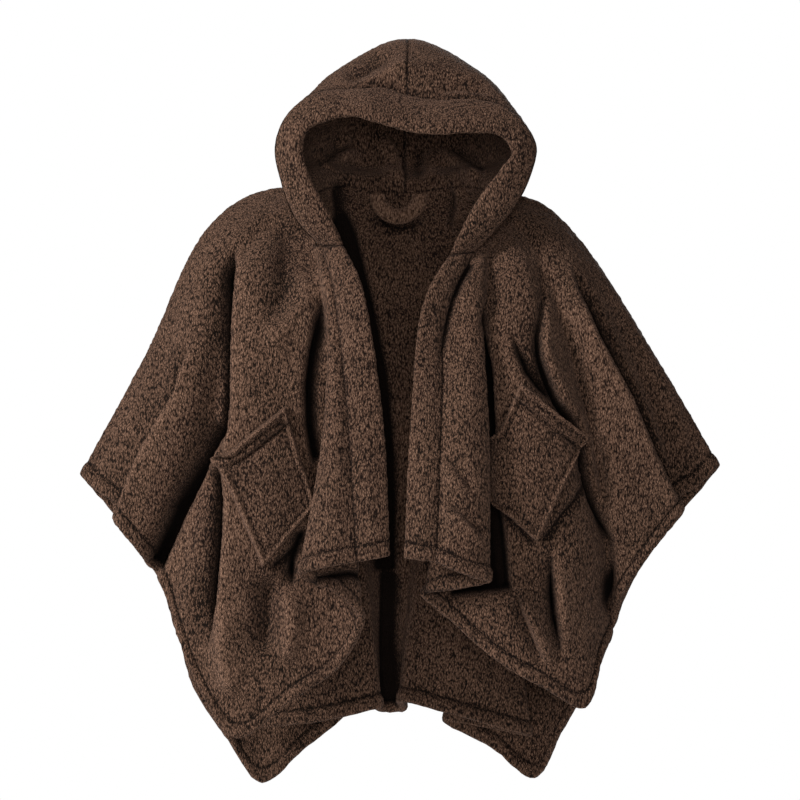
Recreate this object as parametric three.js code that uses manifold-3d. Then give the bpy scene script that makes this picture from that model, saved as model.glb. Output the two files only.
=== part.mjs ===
// Hooded cape of thick curly fleece, in the hollow form it has when worn.
// Millimetres, +Z up, front towards -Y. The origin is the centre of the neck opening, which the shoulders carry.
// The names right and left are the wearer's, so right is -X.
import * as THREE from "three";
import { mergeVertices } from "three/addons/utils/BufferGeometryUtils.js";
import Module from "manifold-3d";

const wasm = await Module();
wasm.setup();

// Cloth
const FLEECE = 5;
const SEAM_GAP = 0.35;
const NECK_SEAM_GAP = 0.9;
const NECK_SEAM_ROWS = 3;
const BAND_THICK = 12;
const BAND_END = 0.65;
const HOOD_BAND_THICK = 15;
const SEAM_TAPER = 0.5;
const SEAM_ROW = 10;
const NECK_LEAN = 0.75;
const SHOULDER_ROUNDING = 0.15;
const LINES_TO_COLUMNS = 2;
const BODY_ROWS = 13;

// The turned hem: distance in from the edge, and the thickness of the wall there
const HEM_ROWS = [
  { inset: 23, thick: 5 },
  { inset: 19, thick: 3.6 },
  { inset: 15, thick: 9.5 },
  { inset: 6, thick: 10.5 },
  { inset: 0, thick: 6.5 },
];

// Neckline, from the right front edge round the back to the left front edge
const NECK = [
  [-98, -80, -58],
  [-115, -52, -34],
  [-108, -5, 14],
  [-72, 48, 26],
  [0, 72, 20],
  [72, 48, 26],
  [108, -5, 14],
  [112, -50, -34],
  [86, -80, -64],
];
const RIGHT_SHOULDER = 0.235;
const LEFT_SHOULDER = 0.765;

// Fold lines run from the neckline to the hem. Each row gives x, y, z a quarter of the way down (yoke),
// a little past halfway (half) and at the hem.
const BAND_RIGHT_EDGES = [
  { line: "free edge", neck: [-72, -98, -58], yoke: [-41, -140, -148], half: [-23, -160, -280], hem: [-16, -166, -429] },
  { line: "middle", neck: [-86, -91, -58], yoke: [-60, -132, -148], half: [-44, -161, -280], hem: [-36, -171, -433] },
];

const FRONT_RIGHT_FOLDS = [
  { line: "band seam", yoke: [-78, -121, -148], half: [-65, -158, -280], hem: [-55, -172, -436] },
  { line: "flap", yoke: [-84, -120, -148], half: [-79, -163, -280], hem: [-88, -180, -441] },
  { line: "flap fold", yoke: [-89, -116, -145], half: [-94, -150, -282], hem: [-122, -162, -453] },
  { line: "middle layer", yoke: [-91, -107, -143], half: [-80, -131, -282], hem: [-85, -142, -473] },
  { line: "hidden fold", yoke: [-94, -97, -140], half: [-69, -113, -285], hem: [-51, -122, -511] },
  { line: "panel start", yoke: [-104, -92, -137], half: [-85, -97, -290], hem: [-79, -104, -568] },
  { line: "panel", yoke: [-125, -98, -135], half: [-125, -104, -298], hem: [-137, -104, -609] },
  { line: "front corner", yoke: [-149, -102, -129], half: [-163, -113, -310], hem: [-203, -98, -654] },
  { line: "side ridge", yoke: [-171, -98, -111], half: [-197, -110, -310], hem: [-247, -84, -597] },
  { line: "side slope", yoke: [-186, -88, -96], half: [-220, -96, -305], hem: [-273, -74, -537] },
  { line: "deep valley", yoke: [-202, -70, -83], half: [-238, -68, -304], hem: [-298, -50, -469] },
  { line: "arm ridge", yoke: [-219, -66, -75], half: [-272, -82, -299], hem: [-329, -68, -425] },
  { line: "arm slope", yoke: [-235, -54, -67], half: [-297, -74, -281], hem: [-354, -64, -391] },
  { line: "arm valley", yoke: [-245, -42, -61], half: [-311, -54, -259], hem: [-359, -46, -371] },
  { line: "outer ridge", yoke: [-248, -26, -46], half: [-328, -38, -238], hem: [-381, -34, -355] },
  { line: "arm crest", yoke: [-239, -6, -27], half: [-319, -14, -189], hem: [-400, -20, -338] },
];

const BACK_FOLDS = [
  { line: "right arm back", yoke: [-244, 12, -42], half: [-320, 14, -215], hem: [-357, 10, -394] },
  { line: "right side 1", yoke: [-236, 40, -62], half: [-303, 48, -262], hem: [-305, 36, -469] },
  { line: "right side 2", yoke: [-222, 66, -80], half: [-282, 80, -300], hem: [-282, 62, -547] },
  { line: "right side 3", yoke: [-205, 88, -96], half: [-258, 104, -330], hem: [-265, 86, -619] },
  { line: "right side 4", yoke: [-186, 104, -108], half: [-234, 122, -352], hem: [-226, 104, -683] },
  { line: "right corner", yoke: [-164, 114, -118], half: [-204, 136, -372], hem: [-183, 118, -740] },
  { line: "right corner flap", yoke: [-142, 120, -124], half: [-172, 142, -368], hem: [-130, 130, -699] },
  { line: "right flap fold", yoke: [-122, 123, -128], half: [-142, 141, -360], hem: [-78, 134, -655] },
  { line: "right middle layer", yoke: [-105, 122, -130], half: [-136, 130, -356], hem: [-133, 112, -654] },
  { line: "right lobe start", yoke: [-88, 120, -132], half: [-128, 117, -354], hem: [-189, 92, -665] },
  { line: "right lobe", yoke: [-70, 120, -134], half: [-97, 109, -352], hem: [-109, 74, -656] },
  { line: "right lobe fold", yoke: [-52, 122, -135], half: [-62, 114, -350], hem: [-31, 80, -639] },
  { line: "right return", yoke: [-35, 125, -136], half: [-45, 131, -350], hem: [-35, 112, -642] },
  { line: "centre right", yoke: [-18, 127, -136], half: [-25, 146, -352], hem: [-27, 138, -651] },
  { line: "centre back", yoke: [0, 128, -136], half: [-4, 151, -352], hem: [-14, 146, -652] },
  { line: "centre left", yoke: [20, 127, -136], half: [16, 146, -352], hem: [0, 134, -650] },
  { line: "left lobe fold", yoke: [38, 124, -136], half: [36, 127, -350], hem: [-3, 96, -633] },
  { line: "left lobe", yoke: [66, 120, -134], half: [82, 109, -352], hem: [78, 76, -651] },
  { line: "left lobe end", yoke: [90, 120, -132], half: [127, 118, -356], hem: [163, 90, -677] },
  { line: "left middle layer", yoke: [105, 122, -130], half: [134, 131, -358], hem: [110, 110, -668] },
  { line: "left flap fold", yoke: [121, 123, -128], half: [139, 142, -362], hem: [53, 130, -663] },
  { line: "left corner flap", yoke: [140, 120, -126], half: [170, 142, -368], hem: [115, 126, -696] },
  { line: "left corner", yoke: [160, 114, -120], half: [204, 136, -370], hem: [170, 116, -734] },
  { line: "left side 4", yoke: [180, 104, -112], half: [232, 122, -352], hem: [202, 104, -676] },
  { line: "left side 3", yoke: [196, 88, -102], half: [256, 104, -330], hem: [230, 90, -623] },
  { line: "left side 2", yoke: [208, 66, -92], half: [278, 80, -300], hem: [259, 66, -550] },
  { line: "left side 1", yoke: [218, 40, -78], half: [299, 48, -262], hem: [287, 40, -478] },
  { line: "left arm back", yoke: [223, 12, -58], half: [316, 14, -215], hem: [337, 12, -400] },
];

const FRONT_LEFT_FOLDS = [
  { line: "arm crest", yoke: [218, -6, -44], half: [313, -14, -192], hem: [392, -20, -327] },
  { line: "outer ridge", yoke: [231, -22, -70], half: [328, -34, -239], hem: [365, -34, -350] },
  { line: "arm step back", yoke: [222, -38, -74], half: [307, -44, -259], hem: [338, -40, -367] },
  { line: "arm step front", yoke: [211, -52, -77], half: [297, -68, -266], hem: [340, -64, -381] },
  { line: "arm slope", yoke: [200, -60, -80], half: [281, -84, -288], hem: [303, -80, -429] },
  { line: "arm ridge", yoke: [187, -66, -85], half: [254, -88, -305], hem: [267, -76, -483] },
  { line: "deep valley", yoke: [173, -68, -92], half: [231, -72, -305], hem: [257, -52, -529] },
  { line: "side slope", yoke: [164, -82, -103], half: [218, -96, -311], hem: [240, -76, -561] },
  { line: "front corner", yoke: [154, -98, -113], half: [191, -116, -314], hem: [219, -98, -617] },
  { line: "pocket face", yoke: [136, -103, -125], half: [152, -122, -310], hem: [171, -110, -593] },
  { line: "panel edge", yoke: [117, -97, -132], half: [118, -114, -298], hem: [117, -112, -562] },
  { line: "panel start", yoke: [103, -91, -135], half: [91, -95, -293], hem: [59, -102, -513] },
  { line: "hidden fold", yoke: [96, -97, -137], half: [66, -113, -287], hem: [26, -122, -480] },
  { line: "middle layer", yoke: [95, -107, -140], half: [82, -131, -285], hem: [63, -140, -471] },
  { line: "flap fold", yoke: [93, -117, -143], half: [100, -150, -282], hem: [101, -158, -461] },
  { line: "flap outer", yoke: [81, -123, -146], half: [83, -165, -282], hem: [81, -174, -454] },
  { line: "flap", yoke: [66, -121, -148], half: [62, -165, -282], hem: [57, -176, -445] },
  { line: "band seam", yoke: [51, -118, -148], half: [45, -158, -280], hem: [39, -170, -437] },
];

const BAND_LEFT_EDGES = [
  { line: "middle", neck: [71, -90, -67], yoke: [36, -126, -148], half: [27, -161, -281], hem: [20, -171, -434] },
  { line: "free edge", neck: [56, -99, -69], yoke: [20, -135, -148], half: [8, -160, -282], hem: [1, -167, -431] },
];

// The rolled edge of the hood, section by section from the right foot over the forehead to the left foot.
// The outer line is its seam to the hood, and the inner line is the edge of the face opening.
const HOOD_BAND_SECTIONS = [
  { at: "right foot", outer: [-98, -80, -58], inner: [-72, -98, -58] },
  { at: "right throat", outer: [-131, -95, -22], inner: [-92, -110, -14] },
  { at: "right cheek", outer: [-147, -103, 20], inner: [-111, -118, 20] },
  { at: "right temple", outer: [-154, -105, 62], inner: [-121, -122, 54] },
  { at: "right corner", outer: [-140, -102, 100], inner: [-116, -124, 80] },
  { at: "right brow", outer: [-106, -98, 127], inner: [-90, -127, 92] },
  { at: "right forehead", outer: [-57, -96, 132], inner: [-62, -132, 97] },
  { at: "right dip", outer: [-26, -96, 134], inner: [-30, -134, 88] },
  { at: "centre seam", outer: [6, -96, 124], inner: [7, -134, 78] },
  { at: "left dip", outer: [40, -96, 119], inner: [40, -134, 75] },
  { at: "left brow", outer: [93, -98, 119], inner: [85, -128, 77] },
  { at: "left corner", outer: [132, -102, 104], inner: [116, -124, 74] },
  { at: "left temple", outer: [159, -105, 66], inner: [131, -121, 54] },
  { at: "left cheek", outer: [153, -103, 28], inner: [116, -116, 32] },
  { at: "left throat", outer: [131, -95, -14], inner: [86, -108, -8] },
  { at: "left foot", outer: [86, -80, -64], inner: [56, -99, -69] },
];

// Hood sections behind the edge, one arch each, down to the seam at the back of the head.
// foot is the share of half the neckline, side and upper are on the wearer's left, and top is on the centre seam.
const HOOD_ARCHES = [
  { foot: 0.16, side: [149, -72, 58], upper: [104, -72, 139], top: [0, -84, 160] },
  { foot: 0.33, side: [146, -34, 58], upper: [100, -34, 150], top: [0, -54, 190] },
  { foot: 0.5, side: [136, 10, 58], upper: [92, 10, 152], top: [0, -8, 204] },
  { foot: 0.67, side: [114, 54, 60], upper: [76, 54, 145], top: [0, 44, 194] },
  { foot: 0.84, side: [74, 90, 60], upper: [50, 92, 126], top: [0, 88, 158] },
  { foot: 1, side: [0, 108, 60], upper: [0, 114, 92], top: [0, 110, 122] },
];
const HOOD_LIFT = 1.8;
const HOOD_RISE = { out: 3, up: 15 };
const HOOD_LEAN = 6 / 200;
const HOOD_ROWS_PER_ARCH = 2;
const STEPS_PER_BAND_SECTION = 2;
const CENTRE_SECTION = 8;
const FOOT_STEP = 0.4;

// Patch pockets, seen from the front: the corners as x and z, going round from the outer end of the mouth.
// They lie on the main panels, between the fold line named here and the shoulder.
const POCKET_PANEL_START = "panel start";
const POCKET_THICK = 5;
const POCKET_TOP_THICK = 8;
const POCKET_TOP_DEPTH = 20;
const POCKET_RIGHT = [[-224, -317], [-143, -251], [-106, -371], [-170, -446]];
const POCKET_LEFT = [[218, -291], [142, -222], [86, -344], [161, -415]];

// Loop in the back neck seam
const LOOP = { x: -6, top: 18, halfWidth: 27, drop: 28, strap: 18, thick: 9, clearance: 0.4, bow: 0.0023 };

const FLEECE_COLOUR = 0x4b372d;

const point = ([x, y, z]) => new THREE.Vector3(x, y, z);
const spline = (points) => new THREE.CatmullRomCurve3(points, false, "centripetal");
const neckCurve = spline(NECK.map(point));

// Thickness direction at the neck seam, shared by the cape and the hood so that their edges face each other.
// Over the shoulders the cape runs outwards from the seam, so there the direction leans up.
function neckDirection({ x, y }) {
  const outward = new THREE.Vector3(x, y, 0).normalize();
  return outward.setZ(NECK_LEAN * Math.abs(outward.x) ** 3).normalize();
}

// A point moved towards another by a short distance
function towards(from, to, distance) {
  return from.clone().add(to.clone().sub(from).setLength(distance));
}

// Point that rounds a fold line out between the neck and the yoke, more where the line runs out over a shoulder
function shoulderPoint(neck, yoke) {
  const run = yoke.clone().sub(neck);
  const reach = Math.hypot(run.x, run.y);
  const outward = new THREE.Vector3(run.x, run.y, 0).normalize();
  const square = outward.multiplyScalar(-run.z).setZ(reach).normalize();
  return neck.clone().add(yoke).multiplyScalar(0.5).addScaledVector(square, SHOULDER_ROUNDING * reach);
}

// Points down one fold line: even steps to the hem, then the hem's own rows
function pointsDownLine(fold) {
  const [neck, yoke, half, hem] = [fold.neck, fold.yoke, fold.half, fold.hem].map(point);
  const curve = spline([neck, shoulderPoint(neck, yoke), yoke, half, hem]);
  curve.arcLengthDivisions = 400;
  const length = curve.getLength();
  const body = length - HEM_ROWS[0].inset;
  const steps = Array.from({ length: BODY_ROWS - 2 }, (_, i) => (body * (i + 1)) / (BODY_ROWS - 1));
  const hemSteps = HEM_ROWS.map(({ inset }) => length - inset);
  return [0, SEAM_ROW, ...steps, ...hemSteps].map((s) => curve.getPointAt(Math.min(1, s / length)));
}

// A grid of points from lines: rows[i][j] is point i down column j
function gridAcross(lines, perLine) {
  const columns = (lines.length - 1) * perLine;
  return lines[0].map((_, i) => {
    const across = spline(lines.map((line) => line[i]));
    return Array.from({ length: columns + 1 }, (_, j) => across.getPoint(j / columns));
  });
}

function gridNormals(grid) {
  const last = grid.length - 1;
  return grid.map((row, i) =>
    row.map((_, j) => {
      const down = grid[Math.min(i + 1, last)][j].clone().sub(grid[Math.max(i - 1, 0)][j]);
      const across = row[Math.min(j + 1, row.length - 1)].clone().sub(row[Math.max(j - 1, 0)]);
      return across.cross(down).normalize();
    })
  );
}

// Closed wall between two offsets of a grid: outer(i, j) and inner(i, j) are distances along the normal
function wall(grid, normals, outer, inner) {
  const rows = grid.length;
  const columns = grid[0].length;
  const positions = [];
  for (const offset of [outer, inner]) {
    for (let i = 0; i < rows; i++) {
      for (let j = 0; j < columns; j++) {
        positions.push(...grid[i][j].clone().addScaledVector(normals[i][j], offset(i, j)).toArray());
      }
    }
  }
  const front = (i, j) => i * columns + j;
  const back = (i, j) => rows * columns + i * columns + j;
  const index = [];
  const quad = (a, b, c, d) => index.push(a, b, c, a, c, d);
  for (let i = 0; i < rows - 1; i++) {
    for (let j = 0; j < columns - 1; j++) {
      quad(front(i, j), front(i, j + 1), front(i + 1, j + 1), front(i + 1, j));
      quad(back(i, j), back(i + 1, j), back(i + 1, j + 1), back(i, j + 1));
    }
    quad(front(i, 0), front(i + 1, 0), back(i + 1, 0), back(i, 0));
    quad(front(i, columns - 1), back(i, columns - 1), back(i + 1, columns - 1), front(i + 1, columns - 1));
  }
  for (let j = 0; j < columns - 1; j++) {
    quad(front(0, j), back(0, j), back(0, j + 1), front(0, j + 1));
    quad(front(rows - 1, j), front(rows - 1, j + 1), back(rows - 1, j + 1), back(rows - 1, j));
  }
  const geometry = new THREE.BufferGeometry();
  geometry.setAttribute("position", new THREE.Float32BufferAttribute(positions, 3));
  geometry.setIndex(index);
  return geometry;
}

function named(name, geometry) {
  geometry.computeVertexNormals();
  const fleece = new THREE.MeshStandardMaterial({ color: FLEECE_COLOUR, roughness: 1, metalness: 0 });
  const mesh = new THREE.Mesh(geometry, fleece);
  mesh.name = name;
  return mesh;
}

// Part of a grid between two columns, drawn in by the seam gap at the sides named true and at the top
function cutPanel(grid, normals, from, to, gapAtStart, gapAtEnd) {
  const rows = grid.map((row) => row.slice(from, to + 1).map((p) => p.clone()));
  rows.forEach((row, i) => {
    const last = row.length - 1;
    const gap = i < NECK_SEAM_ROWS ? NECK_SEAM_GAP : SEAM_GAP;
    if (gapAtStart) row[0] = towards(row[0], row[1], gap);
    if (gapAtEnd) row[last] = towards(row[last], row[last - 1], gap);
  });
  rows[0] = rows[0].map((p, j) => towards(p, rows[1][j], SEAM_GAP));
  return { grid: rows, normals: normals.map((row) => row.slice(from, to + 1)) };
}

// The whole cape as one surface, from the free edge of one band round to the other
function capeSurface() {
  const onNeck = (folds, from, to) =>
    folds.map((fold, i) => ({
      ...fold,
      neck: neckCurve.getPointAt(from + ((to - from) * i) / (folds.length - 1)).toArray(),
    }));
  const shoulderStep = (LEFT_SHOULDER - RIGHT_SHOULDER) / (BACK_FOLDS.length + 1);
  const folds = [
    ...BAND_RIGHT_EDGES,
    ...onNeck(FRONT_RIGHT_FOLDS, 0, RIGHT_SHOULDER),
    ...onNeck(BACK_FOLDS, RIGHT_SHOULDER + shoulderStep, LEFT_SHOULDER - shoulderStep),
    ...onNeck(FRONT_LEFT_FOLDS, LEFT_SHOULDER, 1),
    ...BAND_LEFT_EDGES,
  ];
  const grid = gridAcross(folds.map(pointsDownLine), LINES_TO_COLUMNS);
  const normals = gridNormals(grid);
  normals[0] = grid[0].map((p, j) => neckDirection(p).add(normals[1][j]).normalize());
  return { grid, normals };
}

// Column numbers of the seams on the cape surface
const bandColumns = BAND_RIGHT_EDGES.length * LINES_TO_COLUMNS;
const rightCrest = bandColumns + (FRONT_RIGHT_FOLDS.length - 1) * LINES_TO_COLUMNS;
const leftCrest = rightCrest + (BACK_FOLDS.length + 1) * LINES_TO_COLUMNS;
const leftBandSeam = leftCrest + (FRONT_LEFT_FOLDS.length - 1) * LINES_TO_COLUMNS;
const lastColumn = leftBandSeam + BAND_LEFT_EDGES.length * LINES_TO_COLUMNS;

const columnsTo = (folds, name) => folds.findIndex(({ line }) => line === name) * LINES_TO_COLUMNS;
const rightPanelStart = bandColumns + columnsTo(FRONT_RIGHT_FOLDS, POCKET_PANEL_START);
const leftPanelStart = leftCrest + columnsTo(FRONT_LEFT_FOLDS, POCKET_PANEL_START);

const cape = capeSurface();

// Half the wall's thickness in a row of a panel
function halfThickness(row) {
  if (row === 0) return (FLEECE / 2) * SEAM_TAPER;
  const hemRow = row - BODY_ROWS;
  return (hemRow < 0 ? FLEECE : HEM_ROWS[hemRow].thick) / 2;
}

function capePanel(name, from, to) {
  const cut = cutPanel(cape.grid, cape.normals, from, to, true, true);
  return named(name, wall(cut.grid, cut.normals, (i) => halfThickness(i), (i) => -halfThickness(i)));
}

// Doubled strip down a front edge: thickest along its middle, rounded at the free edge and at the hem
function frontBand(name, from, to, freeAtStart) {
  const cut = cutPanel(cape.grid, cape.normals, from, to, !freeAtStart, freeAtStart);
  const columns = to - from;
  const half = (i, j) => {
    const fromSeam = (freeAtStart ? columns - j : j) / columns;
    const profile = 0.55 + 0.45 * Math.sin(Math.PI * Math.min(1, 0.12 + 0.88 * fromSeam));
    const atEnds = i === 0 || i === cut.grid.length - 1 ? BAND_END : 1;
    return (BAND_THICK / 2) * profile * atEnds;
  };
  return named(name, wall(cut.grid, cut.normals, half, (i, j) => -half(i, j)));
}

// Hood

const hoodBandOuter = spline(HOOD_BAND_SECTIONS.map(({ outer }) => point(outer)));
const hoodBandInner = spline(HOOD_BAND_SECTIONS.map(({ inner }) => point(inner)));
const hoodBandMiddle = (t) => hoodBandOuter.getPoint(t).add(hoodBandInner.getPoint(t)).multiplyScalar(0.5);

const bandSteps = (HOOD_BAND_SECTIONS.length - 1) * STEPS_PER_BAND_SECTION;
const bandStepsBeforeCentre = CENTRE_SECTION * STEPS_PER_BAND_SECTION;
const hoodColumns = (side) => (side < 0 ? bandStepsBeforeCentre : bandSteps - bandStepsBeforeCentre);

// Point of the neckline at a share of the way from the front edge to the centre back
function neckPoint(share, side) {
  return neckCurve.getPointAt(side < 0 ? share / 2 : 1 - share / 2);
}

// Points up one side of an arch, from its foot to the centre seam, on a curve that runs on level over the seam
function archSide(arch, side) {
  const lean = ([x, y, z], mirror) => new THREE.Vector3(x * side * mirror + z * HOOD_LEAN, y, z);
  const foot = neckPoint(arch.foot, side);
  const ankle = foot.clone().addScaledVector(neckDirection(foot), HOOD_RISE.out).setZ(foot.z + HOOD_RISE.up);
  const thisSide = [foot, ankle, lean(arch.side, 1), lean(arch.upper, 1), lean(arch.top, 1)];
  const over = spline([...thisSide, lean(arch.upper, -1)]);
  const toSeam = (thisSide.length - 1) / thisSide.length;
  const curve = spline(Array.from({ length: 25 }, (_, k) => over.getPoint((toSeam * k) / 24)));
  const even = Array.from({ length: hoodColumns(side) }, (_, k) => (k + 1) / hoodColumns(side));
  return [0, SEAM_ROW / curve.getLength(), ...even].map((share) => curve.getPointAt(share));
}

// The first arch follows the seam of the rolled edge, at the rolled edge's own sections
function firstArchSide(side) {
  const fromFoot = (steps) => (side < 0 ? steps : bandSteps - steps) / bandSteps;
  const even = Array.from({ length: hoodColumns(side) }, (_, k) => k + 1);
  return [0, FOOT_STEP, ...even].map((steps) => hoodBandOuter.getPoint(fromFoot(steps)));
}

// Centre and half axes of the rolled edge's section at a share t of its length
function hoodBandSection(t) {
  const outer = hoodBandOuter.getPoint(t);
  const centre = hoodBandMiddle(t);
  const width = outer.clone().sub(centre);
  const along = hoodBandMiddle(Math.min(1, t + 0.01)).sub(hoodBandMiddle(Math.max(0, t - 0.01))).normalize();
  const depth = along.clone().cross(width).setLength(HOOD_BAND_THICK / 2);
  return { outer, centre, width, depth, along };
}

// Thickness direction of the rolled edge beside a point of its seam
function hoodEdgeDirection(seamPoint) {
  const sections = Array.from({ length: 121 }, (_, k) => hoodBandSection(k / 120));
  const nearest = sections.reduce((best, section) =>
    section.outer.distanceTo(seamPoint) < best.outer.distanceTo(seamPoint) ? section : best
  );
  return nearest.depth.normalize();
}

// Moves the two lowest rows of a hood half on to the neckline between one arch's foot and the next
function seatOnNeckline([footRow, seamRow], side) {
  const feet = [0, ...HOOD_ARCHES.map(({ foot }) => foot)];
  footRow.forEach((p, j) => {
    const before = Math.floor(j / HOOD_ROWS_PER_ARCH);
    const after = Math.min(before + 1, feet.length - 1);
    const foot = THREE.MathUtils.lerp(feet[before], feet[after], j / HOOD_ROWS_PER_ARCH - before);
    const shift = neckPoint(foot, side).sub(p);
    p.add(shift);
    seamRow[j].add(shift);
  });
}

function hoodHalf(name, side) {
  const arches = [firstArchSide(side), ...HOOD_ARCHES.map((arch) => archSide(arch, side))];
  const byHeight = gridAcross(arches, HOOD_ROWS_PER_ARCH);
  seatOnNeckline(byHeight, side);
  const grid = side < 0 ? byHeight.reverse() : byHeight.reverse().map((row) => row.reverse());
  const last = grid[0].length - 1;
  const [edge, backSeam] = side < 0 ? [0, last] : [last, 0];
  const besideEdge = side < 0 ? 1 : last - 1;
  const foot = grid.length - 1;
  const normals = gridNormals(grid);
  normals[foot] = grid[foot].map(neckDirection);
  grid.forEach((row, i) => {
    normals[i][edge] = hoodEdgeDirection(row[edge]);
    row[edge] = towards(row[edge], row[besideEdge], HOOD_LIFT);
  });
  const crown = grid[0].map((p, j) => [p, normals[0][j]]);
  const nape = grid.map((row, i) => [row[backSeam], normals[i][backSeam]]);
  for (const [p, n] of [...crown, ...nape]) {
    p.setX(Math.max(0, p.z) * HOOD_LEAN + side * SEAM_GAP);
    n.setX(0).normalize();
  }
  grid[foot] = grid[foot].map((p, j) => towards(p, grid[foot - 1][j], HOOD_LIFT));
  const half = (i, j) => (i === foot || j === edge ? SEAM_TAPER : 1) * (FLEECE / 2);
  return named(name, wall(grid, normals, half, (i, j) => -half(i, j)));
}

// Closed tube from sections[k], each a ring of points, with flat ends
function tube(sections) {
  const sides = sections[0].length;
  const positions = sections.flat().flatMap((p) => p.toArray());
  const index = [];
  for (let k = 0; k < sections.length - 1; k++) {
    for (let s = 0; s < sides; s++) {
      const a = k * sides + s;
      const b = k * sides + ((s + 1) % sides);
      index.push(a, b, b + sides, a, b + sides, a + sides);
    }
  }
  for (const [k, flip] of [[0, true], [sections.length - 1, false]]) {
    for (let s = 1; s < sides - 1; s++) {
      const [a, b, c] = [k * sides, k * sides + s, k * sides + s + 1];
      index.push(...(flip ? [a, c, b] : [a, b, c]));
    }
  }
  const geometry = new THREE.BufferGeometry();
  geometry.setAttribute("position", new THREE.Float32BufferAttribute(positions, 3));
  geometry.setIndex(index);
  return geometry;
}

// Rounded flat ring of points about a centre: width and depth are half axes
function ringOfPoints(centre, width, depth, sides) {
  return Array.from({ length: sides }, (_, s) => {
    const turn = (2 * Math.PI * s) / sides;
    return centre.clone().addScaledVector(width, Math.cos(turn)).addScaledVector(depth, Math.sin(turn));
  });
}

function hoodBand() {
  const sections = [];
  for (let k = 0; k <= bandSteps; k++) {
    const { centre, width, depth, along } = hoodBandSection(k / bandSteps);
    if (k === 0 || k === bandSteps) {
      depth.copy(neckDirection(centre)).setLength(BAND_THICK / 2);
      centre.addScaledVector(along, k === 0 ? SEAM_GAP : -SEAM_GAP);
    }
    sections.push(ringOfPoints(centre, width, depth, 12));
  }
  return named("hood_band", tube(sections));
}

// Pockets

function toManifold(geometry) {
  const bare = mergeVertices(geometry.clone().deleteAttribute("normal").deleteAttribute("uv"), 1e-4);
  const mesh = new wasm.Mesh({
    numProp: 3,
    vertProperties: Float32Array.from(bare.attributes.position.array),
    triVerts: Uint32Array.from(bare.index.array),
  });
  return new wasm.Manifold(mesh);
}

function fromManifold(solid) {
  const mesh = solid.getMesh();
  const geometry = new THREE.BufferGeometry();
  geometry.setAttribute("position", new THREE.Float32BufferAttribute(mesh.vertProperties, 3));
  geometry.setIndex([...mesh.triVerts]);
  return geometry;
}

// Layer of cloth over the whole outer face of a panel, from its own points moved out
function layerOver(from, to, thick) {
  const rows = cape.grid.slice(0, BODY_ROWS + 1).map((row) => row.slice(from, to + 1));
  const normals = cape.normals.slice(0, BODY_ROWS + 1).map((row) => row.slice(from, to + 1));
  const under = FLEECE / 2 + SEAM_GAP;
  return toManifold(wall(rows, normals, () => under + thick, () => under));
}

// Upright block that cuts an outline, given as x and z, through the front of the cape
function frontPrism(corners) {
  const shape = new THREE.Shape(corners.map(([x, z]) => new THREE.Vector2(x, z)));
  const block = new THREE.ExtrudeGeometry(shape, { depth: 200, bevelEnabled: false });
  block.rotateX(Math.PI / 2);
  block.translate(0, -20, 0);
  return toManifold(block);
}

function pocket(name, corners, from, to) {
  const [outer, inner, innerLow, outerLow] = corners.map(([x, z]) => new THREE.Vector2(x, z));
  const down = (a, b) => a.clone().add(b.clone().sub(a).setLength(POCKET_TOP_DEPTH));
  const top = [outer, inner, down(inner, innerLow), down(outer, outerLow)].map((p) => p.toArray());
  const patch = layerOver(from, to, POCKET_THICK).intersect(frontPrism(corners));
  const turnedTop = layerOver(from, to, POCKET_TOP_THICK).intersect(frontPrism(top));
  return named(name, fromManifold(patch.add(turnedTop)));
}

// Hanging loop: half an ellipse of strap that follows the curve of the back neck
function hangingLoop() {
  const [, backNeckY] = NECK[4];
  const nearest = backNeckY - FLEECE / 2 - LOOP.clearance - LOOP.thick / 2;
  const steps = 14;
  const sections = [];
  for (let k = 0; k <= steps; k++) {
    const turn = (Math.PI * k) / steps;
    const x = LOOP.x - LOOP.halfWidth * Math.cos(turn);
    const z = LOOP.top - LOOP.drop * Math.sin(turn);
    const centre = new THREE.Vector3(x, nearest - LOOP.bow * x * x, z);
    const width = new THREE.Vector3(Math.cos(turn), 0, Math.sin(turn)).multiplyScalar(-LOOP.strap / 2);
    const depth = new THREE.Vector3(0, LOOP.thick / 2, 0);
    sections.push(ringOfPoints(centre, width, depth, 8));
  }
  return named("hanging_loop", tube(sections));
}

const group = new THREE.Group();
group.add(
  frontBand("band_right", 0, bandColumns, true),
  capePanel("front_right", bandColumns, rightCrest),
  capePanel("back", rightCrest, leftCrest),
  capePanel("front_left", leftCrest, leftBandSeam),
  frontBand("band_left", leftBandSeam, lastColumn, false),
  hoodHalf("hood_right", -1),
  hoodHalf("hood_left", 1),
  hoodBand(),
  pocket("pocket_right", POCKET_RIGHT, rightPanelStart, rightCrest),
  pocket("pocket_left", POCKET_LEFT, leftCrest, leftPanelStart),
  hangingLoop()
);

export default group;
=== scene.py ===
import math

import bmesh
import bpy
import numpy as np
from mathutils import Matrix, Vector
from mathutils.bvhtree import BVHTree
from mathutils.noise import noise
from numpy.linalg import norm


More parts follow.
